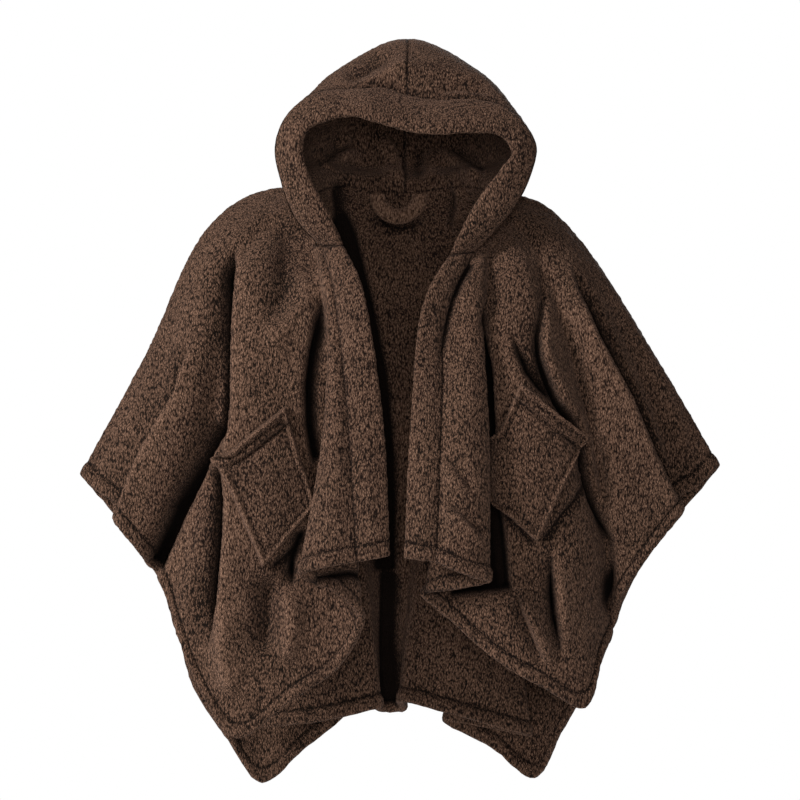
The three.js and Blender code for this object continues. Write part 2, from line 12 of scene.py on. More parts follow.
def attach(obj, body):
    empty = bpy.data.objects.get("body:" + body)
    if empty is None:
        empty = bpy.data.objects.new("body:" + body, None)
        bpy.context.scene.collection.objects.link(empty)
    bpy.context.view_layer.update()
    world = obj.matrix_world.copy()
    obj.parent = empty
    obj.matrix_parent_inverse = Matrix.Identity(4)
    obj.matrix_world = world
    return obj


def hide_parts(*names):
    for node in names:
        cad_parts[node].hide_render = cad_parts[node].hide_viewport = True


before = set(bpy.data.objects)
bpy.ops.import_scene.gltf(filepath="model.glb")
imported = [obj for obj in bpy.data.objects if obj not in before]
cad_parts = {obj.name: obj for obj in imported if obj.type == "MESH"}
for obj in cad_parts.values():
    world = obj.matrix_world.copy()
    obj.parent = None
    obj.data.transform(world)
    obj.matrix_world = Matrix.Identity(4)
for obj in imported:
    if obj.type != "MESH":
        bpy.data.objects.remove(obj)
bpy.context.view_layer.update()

MM = 0.001

# Sizes in millimetres, and shares of them. The names right and left are the wearer's, so right is -X.
FLEECE = 5
SEAM_LAP = 0.5
NECK_REACH = 10
NECK_LEAN = 0.75
SHOULDER_ROUNDING = 0.15
BAND_THICK = 12
HOOD_BAND_THICK = 15
HOOD_TUCK = 3
HOOD_RISE_OUT, HOOD_RISE_UP = 3, 15
HOOD_LEAN = 6 / 200
HOOD_EDGE_REACH, HOOD_DRAW_REACH = 12, 8
HOOD_STITCH_WIDTH, HOOD_GROOVE, HOOD_GROOVE_WIDTH = 1.8, 0.7, 3
HOOD_BAND_END_WIDTH, HOOD_BAND_END_DIP = 3, 0.25
HEM_INSET = 23
STITCH_INSET, STITCH_WIDTH = 19, 2

# Share of the thickness left at a tapered edge, and the shares that seams take from the cloth beside them
TAPER_LEAST = 0.5
PANEL_SEAM_DIP, SEAM_DIP, SEAM_DIP_WIDTH = 0.35, 0.4, 3

# Rounding of the front bands from their seam to their free edge, and what their stitch lines take
BAND_LEAST, BAND_SWELL, BAND_START, BAND_RUN = 0.55, 0.45, 0.12, 0.88
BAND_STITCH_DIP, BAND_NECK_GROOVE = 0.3, 3

# Rounded edges: how far in the rounding reaches, and the share of the thickness at the edge itself
BAND_HEM_NOSE, BAND_NECK_NOSE, BAND_FREE_NOSE, POCKET_NOSE = (6, 0.4), (3, 0.6), (5, 0.5), (5, 0.35)

# The turned hem: distance in from the edge, and the thickness of the cloth there
HEM_PROFILE = [(0, 3.4), (1.2, 7.2), (3.5, 9.8), (8, 10.8), (13, 10.2), (17, 6.6), (19, 2.9), (21, 4.4),
               (24, 5)]

# Distances in from the hem of the rows of points that shape it
HEM_STEPS = np.array([21, 20, 19, 18, 17, 15, 12.5, 10, 7.5, 5, 3, 1.5, 0.5, 0])

# Neckline, from the right front edge round the back to the left front edge
NECK = [
    (-98, -80, -58), (-115, -52, -34), (-108, -5, 14), (-72, 48, 26), (0, 72, 20),
    (72, 48, 26), (108, -5, 14), (112, -50, -34), (86, -80, -64),
]
RIGHT_SHOULDER, LEFT_SHOULDER = 0.235, 0.765

# Fold lines from the neckline to the hem: name, then x, y, z at the yoke, past halfway and at the hem.
# The lines of the front bands start with their own point of the neckline.
BAND_RIGHT_EDGES = [
    ("free edge", (-72, -98, -58), (-41, -140, -148), (-23, -160, -280), (-16, -166, -429)),
    ("middle", (-86, -91, -58), (-60, -132, -148), (-44, -161, -280), (-36, -171, -433)),
]

FRONT_RIGHT_FOLDS = [
    ("band seam", (-78, -121, -148), (-65, -158, -280), (-55, -172, -436)),
    ("flap", (-84, -120, -148), (-79, -163, -280), (-88, -180, -441)),
    ("flap fold", (-89, -116, -145), (-94, -150, -282), (-122, -162, -453)),
    ("middle layer", (-91, -107, -143), (-80, -131, -282), (-85, -142, -473)),
    ("hidden fold", (-94, -97, -140), (-69, -113, -285), (-51, -122, -511)),
    ("panel start", (-104, -92, -137), (-85, -97, -290), (-79, -104, -568)),
    ("panel", (-125, -98, -135), (-125, -104, -298), (-137, -104, -609)),
    ("front corner", (-149, -102, -129), (-163, -113, -310), (-203, -98, -654)),
    ("side ridge", (-171, -98, -111), (-197, -110, -310), (-247, -84, -597)),
    ("side slope", (-186, -88, -96), (-220, -96, -305), (-273, -74, -537)),
    ("deep valley", (-202, -70, -83), (-238, -68, -304), (-298, -50, -469)),
    ("arm ridge", (-219, -66, -75), (-272, -82, -299), (-329, -68, -425)),
    ("arm slope", (-235, -54, -67), (-297, -74, -281), (-354, -64, -391)),
    ("arm valley", (-245, -42, -61), (-311, -54, -259), (-359, -46, -371)),
    ("outer ridge", (-248, -26, -46), (-328, -38, -238), (-381, -34, -355)),
    ("arm crest", (-239, -6, -27), (-319, -14, -189), (-400, -20, -338)),
]

BACK_FOLDS = [
    ("right arm back", (-244, 12, -42), (-320, 14, -215), (-357, 10, -394)),
    ("right side 1", (-236, 40, -62), (-303, 48, -262), (-305, 36, -469)),
    ("right side 2", (-222, 66, -80), (-282, 80, -300), (-282, 62, -547)),
    ("right side 3", (-205, 88, -96), (-258, 104, -330), (-265, 86, -619)),
    ("right side 4", (-186, 104, -108), (-234, 122, -352), (-226, 104, -683)),
    ("right corner", (-164, 114, -118), (-204, 136, -372), (-183, 118, -740)),
    ("right corner flap", (-142, 120, -124), (-172, 142, -368), (-130, 130, -699)),
    ("right flap fold", (-122, 123, -128), (-142, 141, -360), (-78, 134, -655)),
    ("right middle layer", (-105, 122, -130), (-136, 130, -356), (-133, 112, -654)),
    ("right lobe start", (-88, 120, -132), (-128, 117, -354), (-189, 92, -665)),
    ("right lobe", (-70, 120, -134), (-97, 109, -352), (-109, 74, -656)),
    ("right lobe fold", (-52, 122, -135), (-62, 114, -350), (-31, 80, -639)),
    ("right return", (-35, 125, -136), (-45, 131, -350), (-35, 112, -642)),
    ("centre right", (-18, 127, -136), (-25, 146, -352), (-27, 138, -651)),
    ("centre back", (0, 128, -136), (-4, 151, -352), (-14, 146, -652)),
    ("centre left", (20, 127, -136), (16, 146, -352), (0, 134, -650)),
    ("left lobe fold", (38, 124, -136), (36, 127, -350), (-3, 96, -633)),
    ("left lobe", (66, 120, -134), (82, 109, -352), (78, 76, -651)),
    ("left lobe end", (90, 120, -132), (127, 118, -356), (163, 90, -677)),
    ("left middle layer", (105, 122, -130), (134, 131, -358), (110, 110, -668)),
    ("left flap fold", (121, 123, -128), (139, 142, -362), (53, 130, -663)),
    ("left corner flap", (140, 120, -126), (170, 142, -368), (115, 126, -696)),
    ("left corner", (160, 114, -120), (204, 136, -370), (170, 116, -734)),
    ("left side 4", (180, 104, -112), (232, 122, -352), (202, 104, -676)),
    ("left side 3", (196, 88, -102), (256, 104, -330), (230, 90, -623)),
    ("left side 2", (208, 66, -92), (278, 80, -300), (259, 66, -550)),
    ("left side 1", (218, 40, -78), (299, 48, -262), (287, 40, -478)),
    ("left arm back", (223, 12, -58), (316, 14, -215), (337, 12, -400)),
]

FRONT_LEFT_FOLDS = [
    ("arm crest", (218, -6, -44), (313, -14, -192), (392, -20, -327)),
    ("outer ridge", (231, -22, -70), (328, -34, -239), (365, -34, -350)),
    ("arm step back", (222, -38, -74), (307, -44, -259), (338, -40, -367)),
    ("arm step front", (211, -52, -77), (297, -68, -266), (340, -64, -381)),
    ("arm slope", (200, -60, -80), (281, -84, -288), (303, -80, -429)),
    ("arm ridge", (187, -66, -85), (254, -88, -305), (267, -76, -483)),
    ("deep valley", (173, -68, -92), (231, -72, -305), (257, -52, -529)),
    ("side slope", (164, -82, -103), (218, -96, -311), (240, -76, -561)),
    ("front corner", (154, -98, -113), (191, -116, -314), (219, -98, -617)),
    ("pocket face", (136, -103, -125), (152, -122, -310), (171, -110, -593)),
    ("panel edge", (117, -97, -132), (118, -114, -298), (117, -112, -562)),
    ("panel start", (103, -91, -135), (91, -95, -293), (59, -102, -513)),
    ("hidden fold", (96, -97, -137), (66, -113, -287), (26, -122, -480)),
    ("middle layer", (95, -107, -140), (82, -131, -285), (63, -140, -471)),
    ("flap fold", (93, -117, -143), (100, -150, -282), (101, -158, -461)),
    ("flap outer", (81, -123, -146), (83, -165, -282), (81, -174, -454)),
    ("flap", (66, -121, -148), (62, -165, -282), (57, -176, -445)),
    ("band seam", (51, -118, -148), (45, -158, -280), (39, -170, -437)),
]

BAND_LEFT_EDGES = [
    ("middle", (71, -90, -67), (36, -126, -148), (27, -161, -281), (20, -171, -434)),
    ("free edge", (56, -99, -69), (20, -135, -148), (8, -160, -282), (1, -167, -431)),
]

# Rolled edge of the hood, from the right foot over the brow to the left: its outer and its inner side
HOOD_EDGE = [
    ("right foot", (-98, -80, -58), (-72, -98, -58)),
    ("right throat", (-131, -95, -22), (-92, -110, -14)),
    ("right cheek", (-147, -103, 20), (-111, -118, 20)),
    ("right temple", (-154, -105, 62), (-121, -122, 54)),
    ("right corner", (-140, -102, 100), (-116, -124, 80)),
    ("right brow", (-106, -98, 127), (-90, -127, 92)),
    ("right forehead", (-57, -96, 132), (-62, -132, 97)),
    ("right dip", (-26, -96, 134), (-30, -134, 88)),
    ("centre seam", (6, -96, 124), (7, -134, 78)),
    ("left dip", (40, -96, 119), (40, -134, 75)),
    ("left brow", (93, -98, 119), (85, -128, 77)),
    ("left corner", (132, -102, 104), (116, -124, 74)),
    ("left temple", (159, -105, 66), (131, -121, 54)),
    ("left cheek", (153, -103, 28), (116, -116, 32)),
    ("left throat", (131, -95, -14), (86, -108, -8)),
    ("left foot", (86, -80, -64), (56, -99, -69)),
]

# Arches of the hood behind that: share of the way back along the neckline, then points up to the centre seam
HOOD_ARCHES = [
    (0.16, (149, -72, 58), (104, -72, 139), (0, -84, 160)),
    (0.33, (146, -34, 58), (100, -34, 150), (0, -54, 190)),
    (0.5, (136, 10, 58), (92, 10, 152), (0, -8, 204)),
    (0.67, (114, 54, 60), (76, 54, 145), (0, 44, 194)),
    (0.84, (74, 90, 60), (50, 92, 126), (0, 88, 158)),
    (1, (0, 108, 60), (0, 114, 92), (0, 110, 122)),
]

# Patch pockets, seen from the front: the corners as x and z, from the outer end of the mouth
POCKET_RIGHT = [(-224, -317), (-143, -251), (-106, -371), (-170, -446)]
POCKET_LEFT = [(218, -291), (142, -222), (86, -344), (161, -415)]
POCKET_LIFT, POCKET_PUFF, POCKET_SMOOTHING = 3.6, 6, 12

# A pocket: distance down from its mouth, and the thickness of the cloth there, least at its top's stitches
POCKET_PROFILE = [(0, 11), (16, 10), (20, 4), (24, 7)]
POCKET_TOP_DEPTH, POCKET_TOP_WIDTH, POCKET_GROOVE_DIP = 20, 1.6, 0.25
POCKET_STITCH, POCKET_STITCH_WIDTH, POCKET_STITCH_SHARE = 10, 1.5, 0.6
POCKET_RIM, POCKET_RIM_WIDTH, POCKET_RIM_SWELL, POCKET_RIM_PAINTED_LIGHT = 3.5, 3, 0.5, 0.5

# Loop in the back neck seam. Its value for grooves and painted light is below 0, which paints light over the
# whole loop.
LOOP_X, LOOP_TOP, LOOP_HALF_WIDTH, LOOP_DROP = -6, 18, 27, 28
LOOP_STRAP, LOOP_THICK, LOOP_CLEARANCE, LOOP_BOW = 20, 11, 0.4, 0.0023
LOOP_PAINTED_LIGHT = -0.8

# Pile: the size of a clump and of a curl, how far they stand in and out, and what grooves and painted gap
# shade take from that
CLUMP, CURL, CURL_SHARE = 6.5, 3.1, 0.6
PILE_HEIGHT, LOOP_PILE_HEIGHT, GROOVE_FLATTENS = 1.0, 0.9, 0.7

# Fineness: spacing of columns in mm and number of rows, or rows and columns, or rings and sides. The three
# coarse ones are for placing creases and pockets.
BACK_MESH, FRONT_MESH, BAND_MESH = (5.2, 165), (2.5, 185), (2.4, 170)
HOOD_MESH, HOOD_BAND_MESH, POCKET_MESH, LOOP_MESH = (110, 80), (300, 36), (66, 50), (60, 24)
COARSE_CAPE, COARSE_HOOD, COARSE_FRONT = (8, 90), (50, 40), (5, 130)
CURVE_POINTS, ARCH_POINTS = 401, 25

# Flat cuts in metres: width, length, and the area where the cut isn't a rectangle
BACK_CUT, FRONT_CUT, HOOD_CUT = (1.5, 0.74, 0.57), (0.6, 0.7, 0.2), (0.24, 0.32, 0.062)
BAND_CUT, HOOD_BAND_CUT = (0.045, 0.42, None), (0.055, 0.8, None)
POCKET_CUT, LOOP_CUT = (0.115, 0.15, None), (0.022, 0.12, None)

# Creases seen in the picture. Walking from the first place to the last, each side has the height by which it
# is raised (or sunk) beside the crease, and the width over which that dies away, in mm. The left side is the
# picture's left on a walk down it, and below on a walk from left to right. Then come the depth and width of
# the narrow gap between its folds, on the left, or the right if the width is negative, and the painted shade
# put into the gap, from 0 to 1.
# Then the shares of the length over which it fades at its ends. Places are pixels from the top left corner.
NO_GAP = (0, 0, 0)
FADE, LONG_FADE, TO_HEM = (0.25, 0.25), (0.45, 0.45), (0.25, 0)
FRONT_CREASES = [
    ("right arm step", -13, 20, 10, 24, NO_GAP, TO_HEM,
     [(194, 335), (176, 395), (156, 430), (140, 462), (125, 497)]),
    ("right deep valley", -14, 22, 11, 28, (36, 14, 1), (0.2, 0),
     [(236, 242), (237, 270), (235, 300), (233, 350), (232, 400), (229, 434)]),
    ("right valley foot", -12, 26, 10, 22, (42, 19, 1), (0.1, 0),
     [(229, 425), (213, 462), (188, 514), (166, 566)]),
    ("right lower valley", -22, 26, 14, 26, (34, 11, 1), (0.1, 0.35),
     [(223, 456), (226, 500), (224, 540), (220, 585), (216, 625), (210, 658)]),
    ("right recess", 7, 22, -5, 9, (38, -12, 1), (0.25, 0.08),
     [(323, 285), (315, 318), (308, 352), (304, 385), (305, 425), (309, 450), (314, 470)]),
    ("right recess foot", -8, 14, 4, 10, (28, 10, 1), (0.2, 0.3),
     [(309, 524), (302, 543), (296, 560), (294, 592)]),
    ("under right flap", 6, 14, 0, 10, (22, -8, 1), (0.2, 0.4),
     [(304, 585), (325, 581), (350, 578), (366, 577)]),
    # Painted shadows along the pockets' lower edges
    ("right pocket shade", -3, 8, 0, 8, (7, 7, 0.8), (0.2, 0.1), [(266, 569), (285, 552), (306, 532)]),
    ("left pocket shade 1", -2, 7, 0, 7, (6, 5, 0.7), (0.1, 0.1), [(499, 506), (518, 524), (537, 544)]),
    ("left pocket shade 2", -2, 7, 0, 7, (6, 5, 0.7), (0.1, 0.1), [(538, 544), (560, 513), (586, 480)]),
    ("right hollow", -14, 20, -14, 20, NO_GAP, FADE, [(284, 215), (288, 255), (284, 295), (264, 330)]),
    ("right hollow ridge", 9, 15, 7, 18, NO_GAP, FADE, [(322, 262), (304, 302), (284, 332), (258, 356)]),
    ("right panel soft fold", -18, 16, -18, 16, NO_GAP, FADE, [(270, 570), (268, 615), (262, 660)]),
    ("right panel soft ridge", 14, 13, 14, 13, NO_GAP, FADE, [(288, 585), (292, 625), (286, 665)]),
    ("right panel foot ridge", 14, 16, 14, 16, NO_GAP, FADE, [(230, 600), (226, 650), (234, 700)]),
    ("left arm step", 12, 26, -13, 20, (30, -10, 1), TO_HEM,
     [(567, 258), (578, 290), (598, 335), (618, 373), (631, 397), (653, 450), (673, 492)]),
    ("left arm edge", -17, 20, 12, 26, (30, 10, 1), (0.4, 0.1),
     [(538, 252), (542, 275), (545, 305), (543, 335), (544, 355), (552, 376), (563, 402), (578, 421),
      (585, 443), (588, 470), (594, 495), (604, 523), (618, 548)]),
    ("left chest fold", 6, 16, -12, 14, (20, -8, 1), (0.5, 0.2),
     [(508, 318), (514, 350), (524, 374), (538, 391), (556, 405)]),
    ("left recess", -6, 11, 10, 18, (42, 16, 1), (0.15, 0.05),
     [(485, 296), (486, 330), (489, 350), (493, 366), (495, 400), (497, 440), (498, 480), (500, 505)]),
    ("left recess foot", -2, 12, 6, 18, (40, 24, 1), (0.05, 0.02),
     [(499, 495), (504, 525), (508, 560), (511, 590)]),
    ("under left flap", 8, 18, 0, 12, (26, -14, 1), (0.3, 0.05),
     [(441, 601), (460, 595), (490, 592), (512, 590)]),
    ("left lower valley", -18, 20, 13, 20, (22, 9, 1), LONG_FADE,
     [(551, 535), (555, 572), (558, 605), (563, 645), (563, 674)]),
    ("left lower ridge", -14, 15, 13, 15, NO_GAP, FADE, [(518, 585), (526, 613), (538, 640), (550, 670)]),
    ("left side recess", -6, 14, -6, 14, (26, 12, 1), LONG_FADE, [(614, 552), (612, 590), (604, 622)]),
    ("left flap slant 1", 9, 8, -10, 9, NO_GAP, FADE, [(444, 502), (462, 519), (484, 541)]),
    ("left flap slant 2", 7, 8, -7, 10, NO_GAP, FADE, [(443, 458), (456, 474), (470, 492)]),
    ("left flap edge", 0, 10, 6, 16, (16, -8, 1), (0.1, 0.4),
     [(471, 257), (459, 278), (449, 300), (442, 325), (438, 352), (437, 380)]),
    ("hood right ridge", 10, 15, 7, 13, NO_GAP, FADE,
     [(346, 89), (368, 84), (384, 76), (404, 66), (420, 63)]),
    ("hood right hollow", -14, 15, -11, 20, NO_GAP, FADE, [(340, 80), (358, 72), (375, 61), (390, 53)]),
    ("hood left ridge", 5, 12, -7, 16, NO_GAP, FADE, [(436, 96), (460, 93), (488, 97)]),
    ("hood inside right fold", 20, 13, -6, 13, (9, -10, 0.3), (0.15, 0.25),
     [(321, 169), (340, 156), (359, 146)]),
    ("hood inside right edge", 12, 10, -6, 16, (9, -18, 0.5), (0.2, 0.2),
     [(329, 180), (331, 205), (334, 238)]),
    ("hood inside right bump", 8, 8, 8, 8, NO_GAP, FADE, [(335, 147), (350, 137)]),
    ("hood back seam", 16, 17, -8, 10, NO_GAP, FADE, [(386, 132), (393, 148), (398, 165), (404, 186)]),
    ("hood inside trough", -6, 10, -6, 10, (7, 10, 0.25), FADE, [(421, 140), (423, 160), (422, 184)]),
    ("hood inside left fold", 13, 10, 10, 9, NO_GAP, FADE, [(435, 146), (433, 165), (431, 188)]),
    ("hood inside left slant", 20, 13, -6, 13, (9, -10, 0.35), FADE, [(438, 144), (459, 160), (484, 177)]),
    ("neck left point", -5, 8, 13, 11, (8, 9, 0.3), FADE, [(447, 182), (458, 196), (456, 215), (452, 238)]),
    # Painted shadows below the loop and of the right band on the back's inside; painted shade between the
    # lobes
    ("below the loop", -5, 9, -5, 9, (5, 8, 0.45), (0.3, 0.3),
     [(371, 205), (378, 217), (390, 224), (402, 226), (415, 222), (425, 211)]),
    ("lobe gap", -4, 16, -4, 16, (8, -27, 1), (0.1, 0), [(381, 562), (380, 640), (380, 702)]),
    ("beside the right band", -3, 20, 4, 20, (8, 38, 1), (0.1, 0),
     [(341, 196), (357, 234), (375, 307), (389, 380), (395, 453), (397, 526), (398, 566)]),
    ("back neck ridge", 6, 10, 6, 10, NO_GAP, FADE, [(418, 228), (419, 245), (420, 262)]),
]

# Creases of the hidden back, with sides as seen from behind and places as x and z in mm
BACK_CREASES = [
    ("back right deep fold", -14, 18, 8, 26, (24, 11, 1), TO_HEM,
     [(-90, -90), (-118, -240), (-140, -420), (-150, -620)]),
    ("back left deep fold", 8, 26, -14, 18, (24, -11, 1), TO_HEM,
     [(95, -90), (120, -250), (138, -430), (142, -610)]),
    ("back right arm step", 8, 24, -14, 18, NO_GAP, TO_HEM, [(-190, -110), (-250, -260), (-290, -400)]),
    ("back left arm step", -14, 18, 8, 24, NO_GAP, TO_HEM, [(185, -120), (240, -270), (280, -410)]),
    ("back centre soft fold", -8, 20, -8, 24, NO_GAP, TO_HEM, [(10, -180), (-6, -350), (4, -560)]),
    ("back yoke hollow", -6, 26, -6, 26, NO_GAP, FADE, [(-60, -60), (-20, -95), (40, -90)]),
]

# Softness of a crease's edge in mm, the power by which its sides die away, the lean of its higher side over
# the lower, and the turn of a gap's way out towards the eye
CREASE_EDGE, CREASE_FALL, CREASE_LEAN, CREASE_TURN = 1.6, 1.5, 0.08, 2.5

# How far a gap reaches before and behind its line and past its ends, in mm. A wide gap has a softer far side.
GAP_REACH, GAP_END, GAP_SLOPE = 22, 4, 25

# Painted shade at the bottom of a dark gap, and the painted light that a soft rise of CREST_HEIGHT mm puts on
# the pile (a soft sinking puts as much painted shade)
GAP_PAINTED_SHADE, CREST_PAINTED_LIGHT, CREST_HEIGHT = 3, 0.55, 14

# The picture: its scale, its middle in pixels, and the place of the camera in mm
MM_PER_PIXEL, PICTURE_MIDDLE, CAMERA = 1.25, 400, (-4, -3200, -244)

# Planes across the depth, in mm: ahead of the cape, about at its fronts, and behind it
AHEAD, AT_FRONTS, BEHIND = -400, -120, 1000


def unit(vectors):
    return vectors / np.maximum(norm(vectors, axis=-1, keepdims=True), 1e-9)


def spline(points, at):
    """Centripetal Catmull-Rom curve through points, at places from 0 to 1.

    Curves that lie side by side go in together.
    """
    points = np.asarray(points, float)
    padded = np.concatenate([2 * points[:1] - points[1:2], points, 2 * points[-1:] - points[-2:-1]])
    place = np.clip(np.asarray(at, float), 0, 1) * (len(points) - 1)
    first = np.minimum(place.astype(int), len(points) - 2)
    a, b, c, d = (padded[first + k] for k in range(4))
    w = (place - first).reshape(-1, *[1] * (points.ndim - 1))
    ab, bc, cd = (
        np.maximum(((q - p) ** 2).sum(-1, keepdims=True) ** 0.25, 1e-4) for p, q in ((a, b), (b, c), (c, d))
    )
    leaving = ((b - a) / ab - (c - a) / (ab + bc) + (c - b) / bc) * bc
    arriving = ((c - b) / bc - (d - b) / (bc + cd) + (d - c) / cd) * bc
    bend = 3 * (c - b) - 2 * leaving - arriving
    twist = 2 * (b - c) + leaving + arriving
    return b + w * leaving + w**2 * bend + w**3 * twist


def by_length(points, distances):
    """Points at distances along a curve. distances is a function of the curve's length."""
    places = np.linspace(0, 1, CURVE_POINTS)
    steps = norm(np.diff(spline(points, places), axis=0), axis=1)
    lengths = np.concatenate([[0], np.cumsum(steps)])
    return spline(points, np.interp(distances(lengths[-1]), lengths, places))


def neck_at(shares):
    return by_length(NECK, lambda length: np.asarray(shares) * length)


def neck_direction(points):
    """Thickness direction at the neck seam. It leans up over the shoulders."""
    outward = unit(points * (1, 1, 0))
    outward[..., 2] = NECK_LEAN * np.abs(outward[..., 0]) ** 3
    return unit(outward)


def travelled(grid, axis):
    """Distance of each point of a grid from its first row (axis 0) or first column (axis 1)."""
    steps = norm(np.diff(grid, axis=axis), axis=2)
    start = np.zeros((1, grid.shape[1]) if axis == 0 else (grid.shape[0], 1))
    return np.concatenate([start, np.cumsum(steps, axis=axis)], axis=axis)


def facing(grid):
    """Thickness direction at each point of a grid of rows."""
    return unit(np.cross(np.gradient(grid, axis=1), np.gradient(grid, axis=0)))


def draw_in(grid, axis, gap, reach=6):
    """Draws the first row or column of a grid in from its seam by a gap, and what is near it by less."""
    from_seam = travelled(grid, axis)[..., None]
    return grid + unit(np.gradient(grid, axis=axis)) * gap * np.clip(1 - from_seam / reach, 0, 1)


def draw_in_far(grid, axis, gap):
    """The same at the last row or column."""
    return np.flip(draw_in(np.flip(grid, axis), axis, gap), axis)


def nose(distance, radius, least):
    """Share of the thickness near a rounded edge."""
    inside = 1 - np.clip(distance / radius, 0, 1)
    return least + (1 - least) * np.sqrt(1 - inside**2)


def tapered(distance, reach):
    """Share of the thickness near a tapered edge."""
    return TAPER_LEAST + (1 - TAPER_LEAST) * np.clip(distance / reach, 0, 1)


def near(distance, width):
    """From 1 on a line to about a third at a width from it, and soon 0."""
    return np.exp(-((distance / width) ** 2))


# Cape


def fold_points(neck, yoke, half, hem, body_rows):
    """Points down one fold line: even steps to the hem, then the hem's own rows."""
    neck, yoke, half, hem = (np.array(p, float) for p in (neck, yoke, half, hem))
    run = yoke - neck
    reach = math.hypot(run[0], run[1])
    square = np.array([-run[0] * run[2] / reach, -run[1] * run[2] / reach, reach])
    shoulder = (neck + yoke) / 2 + unit(square) * SHOULDER_ROUNDING * reach

    def distances(length):
        return np.concatenate([np.linspace(0, length - HEM_INSET, body_rows), length - HEM_STEPS])

    return by_length([neck, shoulder, yoke, half, hem], distances)


def on_neck(folds, start, end):
    necks = neck_at(np.linspace(start, end, len(folds)))
    return [(name, neck, *rest) for neck, (name, *rest) in zip(necks, folds)]


def cape_folds():
    step = (LEFT_SHOULDER - RIGHT_SHOULDER) / (len(BACK_FOLDS) + 1)
    return [
        *BAND_RIGHT_EDGES,
        *on_neck(FRONT_RIGHT_FOLDS, 0, RIGHT_SHOULDER),
        *on_neck(BACK_FOLDS, RIGHT_SHOULDER + step, LEFT_SHOULDER - step),
        *on_neck(FRONT_LEFT_FOLDS, LEFT_SHOULDER, 1),
        *BAND_LEFT_EDGES,
    ]


CAPE_FOLDS = cape_folds()
RIGHT_SEAM = len(BAND_RIGHT_EDGES)
RIGHT_CREST = RIGHT_SEAM + len(FRONT_RIGHT_FOLDS) - 1
LEFT_CREST = RIGHT_CREST + len(BACK_FOLDS) + 1
LEFT_SEAM = LEFT_CREST + len(FRONT_LEFT_FOLDS) - 1
LAST_FOLD = len(CAPE_FOLDS) - 1

# Share of the way to the next fold line of a column beyond the seam, for the cloth's direction
NEXT_COLUMN = 0.1


def cape_surface(first, last, spacing, body_rows, creased=True):
    """Middle surface of the cape between two fold lines, and its thickness direction."""
    lines = np.array([fold_points(*fold[1:], body_rows) for fold in CAPE_FOLDS])
    apart = norm(np.diff(lines[:, body_rows // 3 :], axis=0), axis=2).mean(axis=1)
    counts = [max(2, round(apart[k] / spacing)) for k in range(first, last)]
    places = np.concatenate([k + first + np.arange(n) / n for k, n in enumerate(counts)] + [[last]])
    before = [first - NEXT_COLUMN] if first > 0 else []
    after = [last + NEXT_COLUMN] if last < LAST_FOLD else []
    surface = spline(lines, np.concatenate([before, places, after]) / LAST_FOLD).transpose(1, 0, 2)
    shift, shade = crease_shift(surface) if creased else (0, None)
    surface = surface + shift
    inside = slice(len(before), len(before) + len(places))
    direction = facing(surface)[:, inside]
    surface = surface[:, inside]
    shade = shade[:, inside] if creased else None
    near_neck = np.clip(1 - travelled(surface, 0) / NECK_REACH, 0, 1)[..., None]
    direction = unit(direction + near_neck * neck_direction(surface))
    return surface, direction, shade


def cape_panel(first, last, spacing, body_rows):
    surface, direction, shade = cape_surface(first, last, spacing, body_rows)
    surface = draw_in(surface, 1, -SEAM_LAP)
    surface = draw_in_far(surface, 1, -SEAM_LAP)
    surface = draw_in(surface, 0, -SEAM_LAP)
    from_neck = travelled(surface, 0)
    inset = from_neck[-1:] - from_neck
    across = travelled(surface, 1)
    to_seam = np.minimum(across, across[:, -1:] - across)
    thick = np.interp(inset, *zip(*HEM_PROFILE))
    seam_dip = 1 - PANEL_SEAM_DIP * near(to_seam, SEAM_DIP_WIDTH)
    groove_and_painted_light = near(inset - STITCH_INSET, STITCH_WIDTH)
    if first == RIGHT_SEAM or last == LEFT_SEAM:
        to_band = across if first == RIGHT_SEAM else across[:, -1:] - across
        groove_and_painted_light = np.maximum(groove_and_painted_light, near(to_band, STITCH_WIDTH))
    half = thick / 2 * tapered(from_neck, NECK_REACH) * seam_dip
    return shell(surface, direction, half, groove_and_painted_light, shade)


def front_band(first, last, free_at_start, spacing, body_rows):
    surface, direction, shade = cape_surface(first, last, spacing, body_rows)
    draw_seam = draw_in_far if free_at_start else draw_in
    surface = draw_seam(surface, 1, -SEAM_LAP)
    surface = draw_in(surface, 0, -SEAM_LAP)
    from_neck = travelled(surface, 0)
    inset = from_neck[-1:] - from_neck
    across = travelled(surface, 1)
    to_free = across if free_at_start else across[:, -1:] - across
    share = 1 - to_free / across[:, -1:]
    from_seam = share * across[:, -1:]
    profile = BAND_LEAST + BAND_SWELL * np.sin(np.pi * np.minimum(1, BAND_START + BAND_RUN * share))
    seam_dip = 1 - SEAM_DIP * near(from_seam, SEAM_DIP_WIDTH)
    groove_and_painted_light = near(inset - STITCH_INSET, STITCH_WIDTH)
    ends = nose(inset, *BAND_HEM_NOSE) * nose(from_neck, *BAND_NECK_NOSE) * (1 - BAND_STITCH_DIP * groove_and_painted_light)
    groove_and_painted_light = np.maximum(groove_and_painted_light, near(from_seam, STITCH_WIDTH))
    groove_and_painted_light = np.maximum(groove_and_painted_light, near(from_neck, BAND_NECK_GROOVE))
    half = BAND_THICK / 2 * profile * seam_dip * ends * nose(to_free, *BAND_FREE_NOSE)
    return shell(surface, direction, half, groove_and_painted_light, shade)


# Hood

# Half steps between the rolled edge's sections: in all, and from the right foot to the centre seam
BAND_STEPS, STEPS_TO_CENTRE = 30, 16

# Share of the rolled edge's length over which its direction is taken
BAND_NEARBY = 0.01


def hood_band_points(at):
    outer = spline([row[1] for row in HOOD_EDGE], at)
    inner = spline([row[2] for row in HOOD_EDGE], at)
    return outer, (outer + inner) / 2


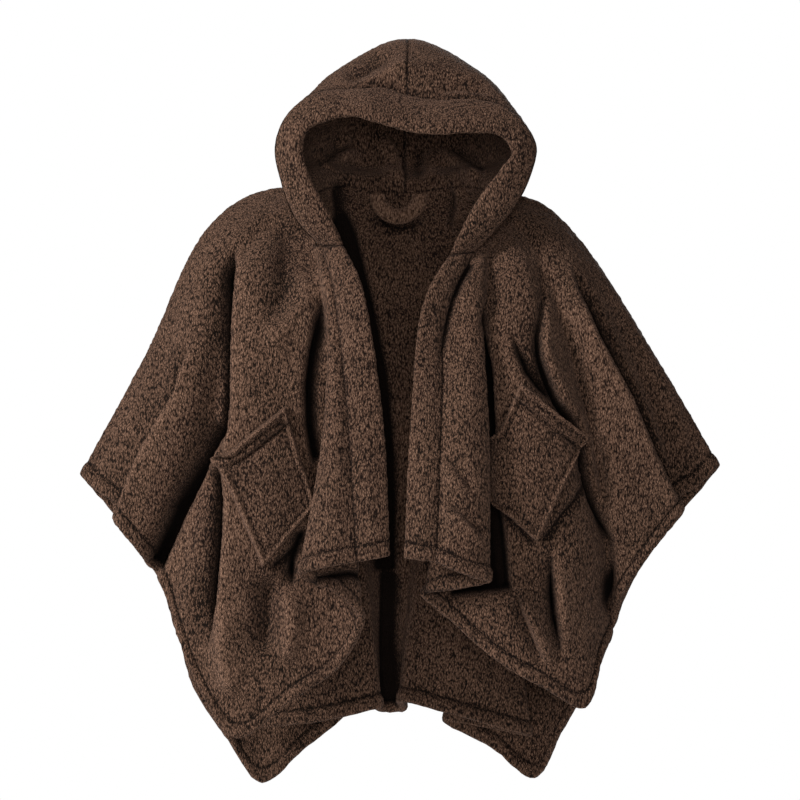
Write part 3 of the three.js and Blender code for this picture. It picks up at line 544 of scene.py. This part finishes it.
def hood_band_sections(at):
    """Centre and half axes of the rolled edge's sections."""
    outer, centre = hood_band_points(at)
    ahead = hood_band_points(np.minimum(1, at + BAND_NEARBY))[1]
    behind = hood_band_points(np.maximum(0, at - BAND_NEARBY))[1]
    width = outer - centre
    depth = unit(np.cross(unit(ahead - behind), width)) * HOOD_BAND_THICK / 2
    return outer, centre, width, depth


def steps_up(side):
    return STEPS_TO_CENTRE if side < 0 else BAND_STEPS - STEPS_TO_CENTRE


def neck_point(shares, side):
    shares = np.asarray(shares, float)
    return neck_at(shares / 2 if side < 0 else 1 - shares / 2)


def arch_points(arch, side, rows):
    """Points up one side of an arch of the hood, from its foot to the centre seam."""
    foot_share, *upward = arch
    foot = neck_point([foot_share], side)[0]
    ankle = foot + neck_direction(foot) * HOOD_RISE_OUT
    ankle[2] = foot[2] + HOOD_RISE_UP

    def leaning(x, y, z, mirror=1):
        return x * side * mirror + z * HOOD_LEAN, y, z

    over = [foot, ankle, *(leaning(*point) for point in upward), leaning(*upward[1], mirror=-1)]
    to_seam = (len(over) - 2) / (len(over) - 1)
    half = spline(over, to_seam * np.linspace(0, 1, ARCH_POINTS))
    return by_length(half, lambda length: np.linspace(0, length, rows))


def band_places(side, rows):
    """Places along the rolled edge beside the rows of a hood half."""
    steps = np.linspace(0, steps_up(side), rows)
    return (steps if side < 0 else BAND_STEPS - steps) / BAND_STEPS


def hood_surface(side, rows, columns):
    """Middle surface of one half of the hood: up from the neckline, and back from the rolled edge."""
    first_arch = hood_band_points(band_places(side, rows))[0]
    arches = np.array([first_arch, *(arch_points(arch, side, rows) for arch in HOOD_ARCHES)])
    back = np.linspace(0, 1, columns)
    surface = spline(arches, back).transpose(1, 0, 2)
    foot_shares = [0, *(arch[0] for arch in HOOD_ARCHES)]
    feet = neck_point(np.interp(back * len(HOOD_ARCHES), range(len(foot_shares)), foot_shares), side)
    height = travelled(surface, 0)
    seat = np.interp(height, [0, NECK_REACH, 2 * NECK_REACH], [1, 1, 0])[..., None]
    surface = surface + (feet - surface[:1]) * seat
    shift, shade = crease_shift(surface)
    return surface + shift, shade


def hood_half(side, rows, columns):
    surface, shade = hood_surface(side, rows, columns)
    direction = facing(surface)
    if (direction * (surface - surface.mean((0, 1)) * (0, 1, 1))).sum() < 0:
        direction = -direction
    from_foot = travelled(surface, 0)
    from_edge = travelled(surface, 1)
    edge_direction = hood_band_sections(band_places(side, rows))[3]
    near_foot = np.clip(1 - from_foot / NECK_REACH, 0, 1)[..., None]
    near_edge = np.clip(1 - from_edge / HOOD_EDGE_REACH, 0, 1)[..., None]
    direction = unit(direction * (1 - near_foot) + neck_direction(surface) * near_foot)
    direction = unit(direction * (1 - near_edge) + unit(edge_direction)[:, None] * near_edge)
    surface = draw_in(surface, 1, -HOOD_TUCK, HOOD_DRAW_REACH)
    surface = draw_in(surface, 0, -SEAM_LAP, HOOD_DRAW_REACH)
    for edge in (np.s_[-1, :], np.s_[:, -1]):
        surface[edge][:, 0] = np.maximum(0, surface[edge][:, 2]) * HOOD_LEAN - side * SEAM_LAP
        direction[edge][:, 0] = 0
    direction = unit(direction)
    to_centre = np.minimum(from_foot[-1:] - from_foot, from_edge[:, -1:] - from_edge)
    seam_dip = 1 - SEAM_DIP * near(to_centre, SEAM_DIP_WIDTH)
    taper = tapered(from_foot, NECK_REACH) * tapered(from_edge, HOOD_EDGE_REACH)
    groove_and_painted_light = near(np.minimum(to_centre, from_foot), HOOD_STITCH_WIDTH)
    groove_and_painted_light = np.maximum(groove_and_painted_light, HOOD_GROOVE * near(from_edge - HOOD_TUCK, HOOD_GROOVE_WIDTH))
    return shell(surface, direction, FLEECE / 2 * taper * seam_dip, groove_and_painted_light, shade)


def hood_band(rings, sides):
    at = np.linspace(0, 1, rings)
    _, centre, width, depth = hood_band_sections(at)
    near_end = np.clip(1 - np.minimum(at, 1 - at) * BAND_STEPS, 0, 1)[:, None]
    depth = depth * (1 - near_end) + neck_direction(centre) * BAND_THICK / 2 * near_end
    along = unit(np.gradient(centre, axis=0))
    centre = centre + along * near_end * np.where(at < 0.5, -SEAM_LAP, SEAM_LAP)[:, None]
    to_end = np.minimum(travelled(centre[:, None], 0), travelled(centre[::-1, None], 0)[::-1])[:, 0]
    groove_and_painted_light = near(to_end, HOOD_BAND_END_WIDTH)
    narrow = (1 - HOOD_BAND_END_DIP * groove_and_painted_light)[:, None]
    return tube(centre, width * narrow, depth * narrow, sides, groove_and_painted_light)


# Cloth made from grids of points

# Points nearer than this, in mm, are made one. A power below 1 makes a tube fuller than an ellipse.
SHELL_MERGE, TUBE_MERGE, TUBE_POWER = 1.2, 0.1, 0.9

# Steps down the rows and along the columns to the corners of a quad
QUAD_CORNERS = ((0, 0), (0, 1), (1, 1), (1, 0))


def grid_mesh(rows, columns):
    """Flat grid of quads that keeps each vertex's place in the rows."""
    bm = bmesh.new()
    bmesh.ops.create_grid(bm, x_segments=columns - 1, y_segments=rows - 1, size=1)
    place = bm.verts.layers.int.new("place")
    bm.verts.layers.float.new("groove_and_painted_light")
    bm.verts.layers.float.new("pile")
    for v in bm.verts:
        column = round((v.co.x + 1) / 2 * (columns - 1))
        row = round((v.co.y + 1) / 2 * (rows - 1))
        v[place] = row * columns + column
    return bm, place


def shell(surface, direction, half, groove_and_painted_light, shade):
    """Closed shell of cloth about a middle surface: half is half its thickness at each point.

    A gap gets painted shade on the side of the cloth from which it is seen, where its way out points. Where
    the cloth rises softly it gets painted light, and where it sinks painted shade.
    """
    bm, place = grid_mesh(*half.shape)
    extruded = bmesh.ops.extrude_face_region(bm, geom=bm.faces[:])
    raised = [v for v in extruded["geom"] if isinstance(v, bmesh.types.BMVert)]
    offset = direction * half[..., None]
    under = ((surface - offset) * MM).reshape(-1, 3)
    over = ((surface + offset) * MM).reshape(-1, 3)
    # Painted shade of a gap, only on the side that looks out of it, and painted light and shade from the soft
    # rise
    gap_shade_way_out, rise = shade[..., 0, :], shade[..., 1, :]
    seen_over = (gap_shade_way_out * direction).sum(-1)
    painted_dark = GAP_PAINTED_SHADE * norm(gap_shade_way_out, axis=-1)
    painted_crest_light = CREST_PAINTED_LIGHT * np.clip((rise * direction).sum(-1) / CREST_HEIGHT, -1, 1)
    groove_and_paint_under = (groove_and_painted_light + painted_dark * (seen_over < 0) + painted_crest_light).reshape(-1)
    groove_and_paint_over = (groove_and_painted_light + painted_dark * (seen_over > 0) - painted_crest_light).reshape(-1)
    kept = bm.verts.layers.float["groove_and_painted_light"]
    for verts, points, groove_and_paint_values in ((bm.verts, under, groove_and_paint_under), (raised, over, groove_and_paint_over)):
        for v in verts:
            v.co = points[v[place]]
            v[kept] = groove_and_paint_values[v[place]]
    bmesh.ops.remove_doubles(bm, verts=bm.verts, dist=SHELL_MERGE * MM)
    return bm


def tube(centres, widths, depths, sides, groove_and_painted_light):
    """Closed tube with a ring of points round each centre, its open ends filled."""
    turn = np.linspace(0, 2 * np.pi, sides + 1)

    def fuller(wave):
        return np.sign(wave) * np.abs(wave) ** TUBE_POWER

    rings = (
        centres[:, None]
        + widths[:, None] * fuller(np.cos(turn))[None, :, None]
        + depths[:, None] * fuller(np.sin(turn))[None, :, None]
    )
    bm, place = grid_mesh(len(centres), sides + 1)
    points = (rings * MM).reshape(-1, 3)
    for v in bm.verts:
        v.co = points[v[place]]
        v[bm.verts.layers.float["groove_and_painted_light"]] = groove_and_painted_light[v[place] // (sides + 1)]
    bmesh.ops.remove_doubles(bm, verts=bm.verts, dist=TUBE_MERGE * MM)
    bmesh.ops.holes_fill(bm, edges=[e for e in bm.edges if e.is_boundary], sides=0)
    return bm


def raise_pile(bm, height=PILE_HEIGHT):
    """Moves the surface in and out in clumps and curls, and keeps their height for the material."""
    pile = bm.verts.layers.float["pile"]
    groove_and_painted_light = bm.verts.layers.float["groove_and_painted_light"]
    bmesh.ops.recalc_face_normals(bm, faces=bm.faces)
    bm.normal_update()
    for v in bm.verts:
        clump = noise(v.co / (CLUMP * MM)) + CURL_SHARE * noise(v.co / (CURL * MM))
        v[pile] = clump
        v.co += v.normal * (height * MM * clump * min(1, max(0, 1 - GROOVE_FLATTENS * v[groove_and_painted_light])))


# Creases

# Past this many times an edge's softness nothing changes any more
FAR_PAST = 40


def segment_gaps(points, start, end):
    """How far along a straight stretch each point is, as a share, and the way to it from there."""
    run = end - start
    share = np.clip((points - start) @ run / (run @ run), 0, 1)
    return share, points - (start + share[:, None] * run)


def fade(share, first, last):
    """From 0 at the ends of a crease to 1 over the stretches first and last; none where they are 0."""
    rise = np.clip(share / first, 0, 1) if first else 1
    fall = np.clip((1 - share) / last, 0, 1) if last else 1
    both = rise * fall
    return both * both * (3 - 2 * both)


def past(distance):
    """From 0 before an edge to 1 past it."""
    return 1 / (1 + np.exp(-np.clip(distance / CREASE_EDGE, -FAR_PAST, FAR_PAST)))


def crease_shift(surface):
    """How far the creases move each point of a surface, and what that does to its shade.

    The painted shade and light are two arrows at each point: the way out of the gap that it is down in, as
    long as the gap's painted shade is dark, and its soft rise, which paints light where it rises and shade
    where it sinks. Soft sides add up. Of two gaps the deeper one moves a point, and the one with darker
    painted shade paints it.
    """
    points = surface.reshape(-1, 3)
    soft, sunk, painted_gap_shade = np.zeros((3, *points.shape))
    for anchors, facings, sides, narrow_gap, ends in creases:
        left, left_width, right, right_width = sides
        depth, width, painted_darkness = narrow_gap
        nearest = np.full(len(points), np.inf)
        moved, cut, inside = np.zeros((3, *points.shape))
        lengths = norm(np.diff(anchors, axis=0), axis=1)
        starts = np.concatenate([[0], np.cumsum(lengths)]) / lengths.sum()
        for k in range(len(anchors) - 1):
            share, gap = segment_gaps(points, anchors[k], anchors[k + 1])
            away = norm(gap, axis=1)
            closer = away < nearest
            nearest = np.minimum(nearest, away)
            along = unit(anchors[k + 1] - anchors[k])
            to_right = unit(np.cross(facings[k], along))
            to_side = gap @ to_right
            near_left = past(-to_side) * np.exp(-((away / left_width) ** CREASE_FALL))
            near_right = past(to_side) * np.exp(-((away / right_width) ** CREASE_FALL))
            full = fade(starts[k] + share * (starts[k + 1] - starts[k]), *ends)
            outward = unit(facings[k] + share[:, None] * (facings[k + 1] - facings[k]))
            raised = (near_left * left + near_right * right)[:, None] * outward
            higher = near_left if left > right else near_right
            lean = CREASE_LEAN * (left - right) * higher[:, None] * to_right
            moved[closer] = (full[:, None] * (raised + lean))[closer]
            if depth:
                into = to_side * -np.sign(width)
                softness = 1 + abs(width) / GAP_SLOPE
                within = past(into) * past((abs(width) * full - into) / softness) * full
                ahead = gap @ facings[k]
                within = within * near(gap @ along, GAP_END) * np.exp(-((ahead / GAP_REACH) ** 4))
                cut[closer] = (-depth * within[:, None] * outward)[closer]
                # Painted shade of the gap
                inside[closer] = (painted_darkness * within[:, None] * outward)[closer]
        soft += moved
        darker = norm(inside, axis=1) > norm(painted_gap_shade, axis=1)
        painted_gap_shade[darker] = inside[darker]
        deeper = norm(cut, axis=1) > norm(sunk, axis=1)
        sunk[deeper] = cut[deeper]
    shade = np.stack([painted_gap_shade, soft], axis=1).reshape(*surface.shape[:2], 2, 3)
    return (soft + sunk).reshape(surface.shape), shade


def place_creases(tree):
    """Puts each crease on the cloth that is seen at its places, in the picture or from behind."""
    placed = []
    for name, *sides, gap, ends, places in FRONT_CREASES:
        hits = [tree.ray_cast(Vector(CAMERA), picture_ray(*place)) for place in places]
        placed.append(crease_on(name, hits, Vector((0, 1, 0)), sides, gap, ends))
    for name, *sides, gap, ends, places in BACK_CREASES:
        hits = [tree.ray_cast(Vector((x, BEHIND, z)), Vector((0, -1, 0))) for x, z in places]
        placed.append(crease_on(name, hits, Vector((0, -1, 0)), sides, gap, ends))
    return placed


def crease_on(name, hits, looking, sides, gap, ends):
    missed = [hit[0] is None for hit in hits]
    if any(missed):
        raise ValueError(f"the crease {name} misses the cloth at {missed}")
    anchors = np.array([hit[0] for hit in hits])
    facings = np.array([hit[1] if hit[1].dot(looking) < 0 else -hit[1] for hit in hits])
    facings = unit(facings - (CREASE_TURN if gap[0] else 0) * np.array(looking))
    return anchors, facings, sides, gap, ends


def picture_ray(across, down):
    """Direction from the camera to a place in the picture, in pixels from its top left corner."""
    to_right = MM_PER_PIXEL * (across - PICTURE_MIDDLE)
    up = MM_PER_PIXEL * (PICTURE_MIDDLE - down)
    return Vector((to_right, -CAMERA[1], up))


def surface_tree(surfaces):
    points, quads = [], []
    for surface in surfaces:
        rows, columns = surface.shape[:2]
        first = len(points)
        points += [Vector(p) for p in surface.reshape(-1, 3)]
        for i in range(rows - 1):
            for j in range(columns - 1):
                quads.append([first + (i + a) * columns + j + b for a, b in QUAD_CORNERS])
    return BVHTree.FromPolygons(points, quads)


# The creases are placed on cloth that has none yet
creases = []
bare_cloth = [cape_surface(0, LAST_FOLD, *COARSE_CAPE)[0]]
bare_cloth += [hood_surface(side, *COARSE_HOOD)[0] for side in (-1, 1)]
creases = place_creases(surface_tree(bare_cloth))


# Pockets and loop


def pocket(corners, first, last, rows, columns):
    """Patch that lies on a front panel, with a thicker turned top."""
    outer, inner, inner_low, outer_low = (np.array(c, float) for c in corners)
    shares = np.meshgrid(np.linspace(0, 1, rows), np.linspace(0, 1, columns), indexing="ij")
    down, across = (share[..., None] for share in shares)
    mouth = outer * (1 - across) + inner * across
    foot = outer_low * (1 - across) + inner_low * across
    flat = mouth * (1 - down) + foot * down
    cloths = [cape_surface(first, last, *COARSE_FRONT, creased)[0] for creased in (False, True)]
    trees = [surface_tree([cloth]) for cloth in cloths]
    surface = np.zeros((rows, columns, 3))
    for i in range(rows):
        for j in range(columns):
            x, z = flat[i, j]
            hits = [tree.ray_cast(Vector((x, AHEAD, z)), Vector((0, 1, 0)))[0] for tree in trees]
            on_cloth = [hit.y for hit in hits if hit is not None]
            if not on_cloth:
                on_cloth = [trees[0].find_nearest(Vector((x, AT_FRONTS, z)))[0].y]
            surface[i, j] = (x, min(on_cloth), z)
    for _ in range(POCKET_SMOOTHING):
        framed = np.pad(surface[..., 1], 1, mode="edge")
        around = framed[:-2, 1:-1] + framed[2:, 1:-1] + framed[1:-1, :-2] + framed[1:-1, 2:]
        surface[..., 1] = np.minimum(surface[..., 1], around / 4)
    direction = facing(surface)
    direction *= -np.sign(direction[..., 1:2])
    from_mouth = travelled(surface, 0)
    from_side = travelled(surface, 1)
    to_side = np.minimum(from_side, from_side[:, -1:] - from_side)
    to_end = np.minimum(from_mouth, from_mouth[-1:] - from_mouth)
    to_edge = np.minimum(to_side, to_end)
    thick = np.interp(from_mouth, *zip(*POCKET_PROFILE))
    groove_and_painted_light = near(from_mouth - POCKET_TOP_DEPTH, POCKET_TOP_WIDTH)
    groove_and_painted_light = np.maximum(groove_and_painted_light, POCKET_STITCH_SHARE * near(to_edge - POCKET_STITCH, POCKET_STITCH_WIDTH))
    rim = near(to_edge - POCKET_RIM, POCKET_RIM_WIDTH)
    half = thick / 2 * nose(to_edge, *POCKET_NOSE) * (1 - POCKET_GROOVE_DIP * groove_and_painted_light)
    half = half * (1 + POCKET_RIM_SWELL * rim)
    # Painted light along the rim
    groove_and_painted_light = groove_and_painted_light - POCKET_RIM_PAINTED_LIGHT * rim
    puff = POCKET_PUFF * np.sin(np.pi * down[..., 0]) * np.sin(np.pi * across[..., 0])
    middle = surface + direction * (POCKET_LIFT + half + puff)[..., None]
    return shell(middle, direction, half, groove_and_painted_light, np.zeros((rows, columns, 2, 3)))


def hanging_loop(rings, sides):
    turn = np.pi * np.linspace(0, 1, rings)
    nearest = NECK[4][1] - FLEECE / 2 - LOOP_CLEARANCE - LOOP_THICK / 2
    x = LOOP_X - LOOP_HALF_WIDTH * np.cos(turn)
    z = LOOP_TOP - LOOP_DROP * np.sin(turn)
    centre = np.stack([x, nearest - LOOP_BOW * x * x, z], axis=1)
    width = np.stack([np.cos(turn), 0 * turn, np.sin(turn)], axis=1) * -LOOP_STRAP / 2
    depth = np.tile([0, LOOP_THICK / 2, 0], (rings, 1))
    # Painted light over the whole loop
    return tube(centre, width, depth, sides, np.full(rings, LOOP_PAINTED_LIGHT))


# Fleece

# Shares of the grooves with their painted light and shade, of mottle and of pile in the shade value, and the
# shade value's scale and start on the colour ramp
GROOVE_AND_PAINT_SHARE, MOTTLE_SHADE, PILE_SHADE = -0.3, 0.16, 0.035
SHADE_SCALE, SHADE_START = 0.8, 0.2

# Weight of the sheen and what grooves and painted shade add to it (less sheen in them, more under painted
# light), and how far the curls are bent, in metres
SHEEN, GROOVE_AND_PAINT_SHEEN, SWIRL = 0.09, -0.05, 0.0035


def add_node(tree, kind, inputs=None, **settings):
    node = tree.nodes.new(kind)
    for name, value in settings.items():
        setattr(node, name, value)
    for socket, value in (inputs or {}).items():
        if isinstance(value, bpy.types.NodeSocket):
            tree.links.new(value, node.inputs[socket])
        else:
            node.inputs[socket].default_value = value
    return node


def ramp(tree, factor, stops):
    """Colour ramp whose stops are (place, colour)."""
    node = add_node(tree, "ShaderNodeValToRGB", {"Fac": factor})
    band = node.color_ramp
    while len(band.elements) < len(stops):
        band.elements.new(0.5)
    for element, (place, colour) in zip(band.elements, stops):
        element.position = place
        element.color = (*colour, 1)
    return node.outputs["Color"]


def fleece_material():
    """Dark brown curly pile: lighter curl tips over near-black gaps, with a soft sheen."""
    material = bpy.data.materials.new("curly_fleece")
    material.use_nodes = True
    tree = material.node_tree
    tree.nodes.clear()

    def noise_texture(vector, scale, detail):
        return add_node(tree, "ShaderNodeTexNoise", {"Vector": vector, "Scale": scale, "Detail": detail})

    def added(value, share, to, **settings):
        terms = {0: value, 1: share, 2: to}
        return add_node(tree, "ShaderNodeMath", terms, operation="MULTIPLY_ADD", **settings).outputs[0]

    place = add_node(tree, "ShaderNodeTexCoord").outputs["Object"]
    hanging = add_node(tree, "ShaderNodeMapping", {"Vector": place, "Scale": (1, 1, 0.42)}).outputs["Vector"]
    drift = noise_texture(hanging, scale=190, detail=2.0)
    terms = {0: drift.outputs["Color"], 1: (0.5, 0.5, 0.5)}
    swirl = add_node(tree, "ShaderNodeVectorMath", terms, operation="SUBTRACT").outputs["Vector"]
    terms = {0: swirl, 1: [SWIRL] * 3, 2: hanging}
    bent = add_node(tree, "ShaderNodeVectorMath", terms, operation="MULTIPLY_ADD").outputs["Vector"]
    curls = add_node(tree, "ShaderNodeTexVoronoi", {"Vector": bent, "Scale": 560}, feature="F1")
    fuzz = noise_texture(bent, scale=1000, detail=2.0).outputs["Fac"]
    mottle = noise_texture(place, scale=22, detail=1.5).outputs["Fac"]
    pile = add_node(tree, "ShaderNodeAttribute", attribute_name="pile").outputs["Fac"]
    groove_and_painted_light = add_node(tree, "ShaderNodeAttribute", attribute_name="groove_and_painted_light").outputs["Fac"]
    height = added(curls.outputs["Distance"], -1.0, fuzz)
    # The grooves attribute also paints shade in gaps and hollows, and light on crests, the loop and pocket
    # rims
    shade = added(groove_and_painted_light, GROOVE_AND_PAINT_SHARE, added(mottle, MOTTLE_SHADE, added(pile, PILE_SHADE, height)))
    colour = ramp(
        tree,
        added(shade, SHADE_SCALE, SHADE_START),
        [
            (0.06, (0.004, 0.0021, 0.0013)),
            (0.26, (0.040, 0.0215, 0.0136)),
            (0.46, (0.082, 0.0455, 0.0296)),
            (0.74, (0.172, 0.0985, 0.0650)),
        ],
    )
    # Painted shade takes sheen away, painted light adds it
    sheen = added(groove_and_painted_light, GROOVE_AND_PAINT_SHEEN, SHEEN, use_clamp=True)
    bump = add_node(tree, "ShaderNodeBump", {"Strength": 0.8, "Distance": 0.0018, "Height": height})
    shader = add_node(
        tree,
        "ShaderNodeBsdfPrincipled",
        {
            "Base Color": colour,
            "Roughness": 0.92,
            "Specular IOR Level": 0.06,
            "Sheen Weight": sheen,
            "Sheen Roughness": 0.4,
            "Sheen Tint": (0.80, 0.50, 0.38, 1),
            "Normal": bump.outputs["Normal"],
        },
    )
    add_node(tree, "ShaderNodeOutputMaterial", {"Surface": shader.outputs["BSDF"]})
    return material


fleece = fleece_material()


def mesh_of(bm, name):
    mesh = bpy.data.meshes.new(name)
    bm.to_mesh(mesh)
    bm.free()
    return mesh


def add_object(name, data):
    item = bpy.data.objects.new(name, data)
    bpy.context.scene.collection.objects.link(item)
    return item


def cloth_piece(node, bm, width, length, area, held="draped", rests_on=(), pile=PILE_HEIGHT):
    """Finishes a piece that stands for a CAD node. Its flat cut's width, length and area, in metres, are not
    used.
    """
    raise_pile(bm, pile)
    mesh = mesh_of(bm, f"{node}_fleece")
    mesh.shade_smooth()
    mesh.materials.append(fleece)
    piece = add_object(f"{node}_fleece", mesh)
    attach(piece, "root")
    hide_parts(node)


def panel_start(folds):
    return [fold[0] for fold in folds].index("panel start")


cloth_piece("back", cape_panel(RIGHT_CREST, LEFT_CREST, *BACK_MESH), *BACK_CUT)
cloth_piece("front_right", cape_panel(RIGHT_SEAM, RIGHT_CREST, *FRONT_MESH), *FRONT_CUT)
cloth_piece("front_left", cape_panel(LEFT_CREST, LEFT_SEAM, *FRONT_MESH), *FRONT_CUT)
cloth_piece("band_right", front_band(0, RIGHT_SEAM, True, *BAND_MESH), *BAND_CUT)
cloth_piece("band_left", front_band(LEFT_SEAM, LAST_FOLD, False, *BAND_MESH), *BAND_CUT)
cloth_piece("hood_right", hood_half(-1, *HOOD_MESH), *HOOD_CUT)
cloth_piece("hood_left", hood_half(1, *HOOD_MESH), *HOOD_CUT)
cloth_piece("hood_band", hood_band(*HOOD_BAND_MESH), *HOOD_BAND_CUT, held="folded")
right_panel = RIGHT_SEAM + panel_start(FRONT_RIGHT_FOLDS)
left_panel = LEFT_CREST + panel_start(FRONT_LEFT_FOLDS)
cloth_piece("pocket_right", pocket(POCKET_RIGHT, right_panel, RIGHT_CREST, *POCKET_MESH), *POCKET_CUT)
cloth_piece("pocket_left", pocket(POCKET_LEFT, LEFT_CREST, left_panel, *POCKET_MESH), *POCKET_CUT)
cloth_piece("hanging_loop", hanging_loop(*LOOP_MESH), *LOOP_CUT, held="folded", pile=LOOP_PILE_HEIGHT)


# Floor, light and camera


def floor_disc():
    bm = bmesh.new()
    bmesh.ops.create_circle(bm, cap_ends=True, radius=3.8, segments=96)
    bmesh.ops.translate(bm, vec=(0, 0, -1.35), verts=bm.verts)
    mesh = mesh_of(bm, "floor")
    floor = add_object("floor", mesh)
    paint = bpy.data.materials.new("pale_floor")
    paint.use_nodes = True
    shader = paint.node_tree.nodes["Principled BSDF"]
    shader.inputs["Base Color"].default_value = (0.86, 0.86, 0.86, 1)
    shader.inputs["Roughness"].default_value = 0.9
    mesh.materials.append(paint)


def soft_light(name, place, size, power, aim=(0, 0, -0.25)):
    lamp = bpy.data.lights.new(name, "AREA")
    lamp.shape = "SQUARE"
    lamp.size = size
    lamp.energy = power
    light = add_object(name, lamp)
    light.location = place
    light.rotation_euler = (Vector(aim) - Vector(place)).to_track_quat("-Z", "Y").to_euler()


def studio_world():
    """White to the eye, and a dimmer light from all round."""
    world = bpy.data.worlds.new("studio")
    world.use_nodes = True
    tree = world.node_tree
    tree.nodes.clear()
    seen = add_node(tree, "ShaderNodeBackground", {"Color": (1, 1, 1, 1), "Strength": 1.0})
    lighting = add_node(tree, "ShaderNodeBackground", {"Color": (1, 1, 1, 1), "Strength": 0.15})
    path = add_node(tree, "ShaderNodeLightPath")
    parts = {0: path.outputs["Is Camera Ray"], 1: lighting.outputs[0], 2: seen.outputs[0]}
    either = add_node(tree, "ShaderNodeMixShader", parts).outputs[0]
    add_node(tree, "ShaderNodeOutputWorld", {"Surface": either})
    bpy.context.scene.world = world


def photo_camera():
    lens = bpy.data.cameras.new("camera")
    lens.lens = 115.2
    lens.sensor_width = 36
    camera = add_object("camera", lens)
    camera.location = Vector(CAMERA) * MM
    camera.rotation_euler = (math.pi / 2, 0, 0)
    bpy.context.scene.camera = camera


floor_disc()
studio_world()
soft_light("key", place=(-2.6, -1.9, 1.4), size=1.0, power=246)
soft_light("front", place=(0, -3.4, 0), size=0.8, power=64)
soft_light("back", place=(0.9, 3.0, 1.0), size=1.6, power=110)
photo_camera()
bpy.context.scene.view_settings.view_transform = "Standard"
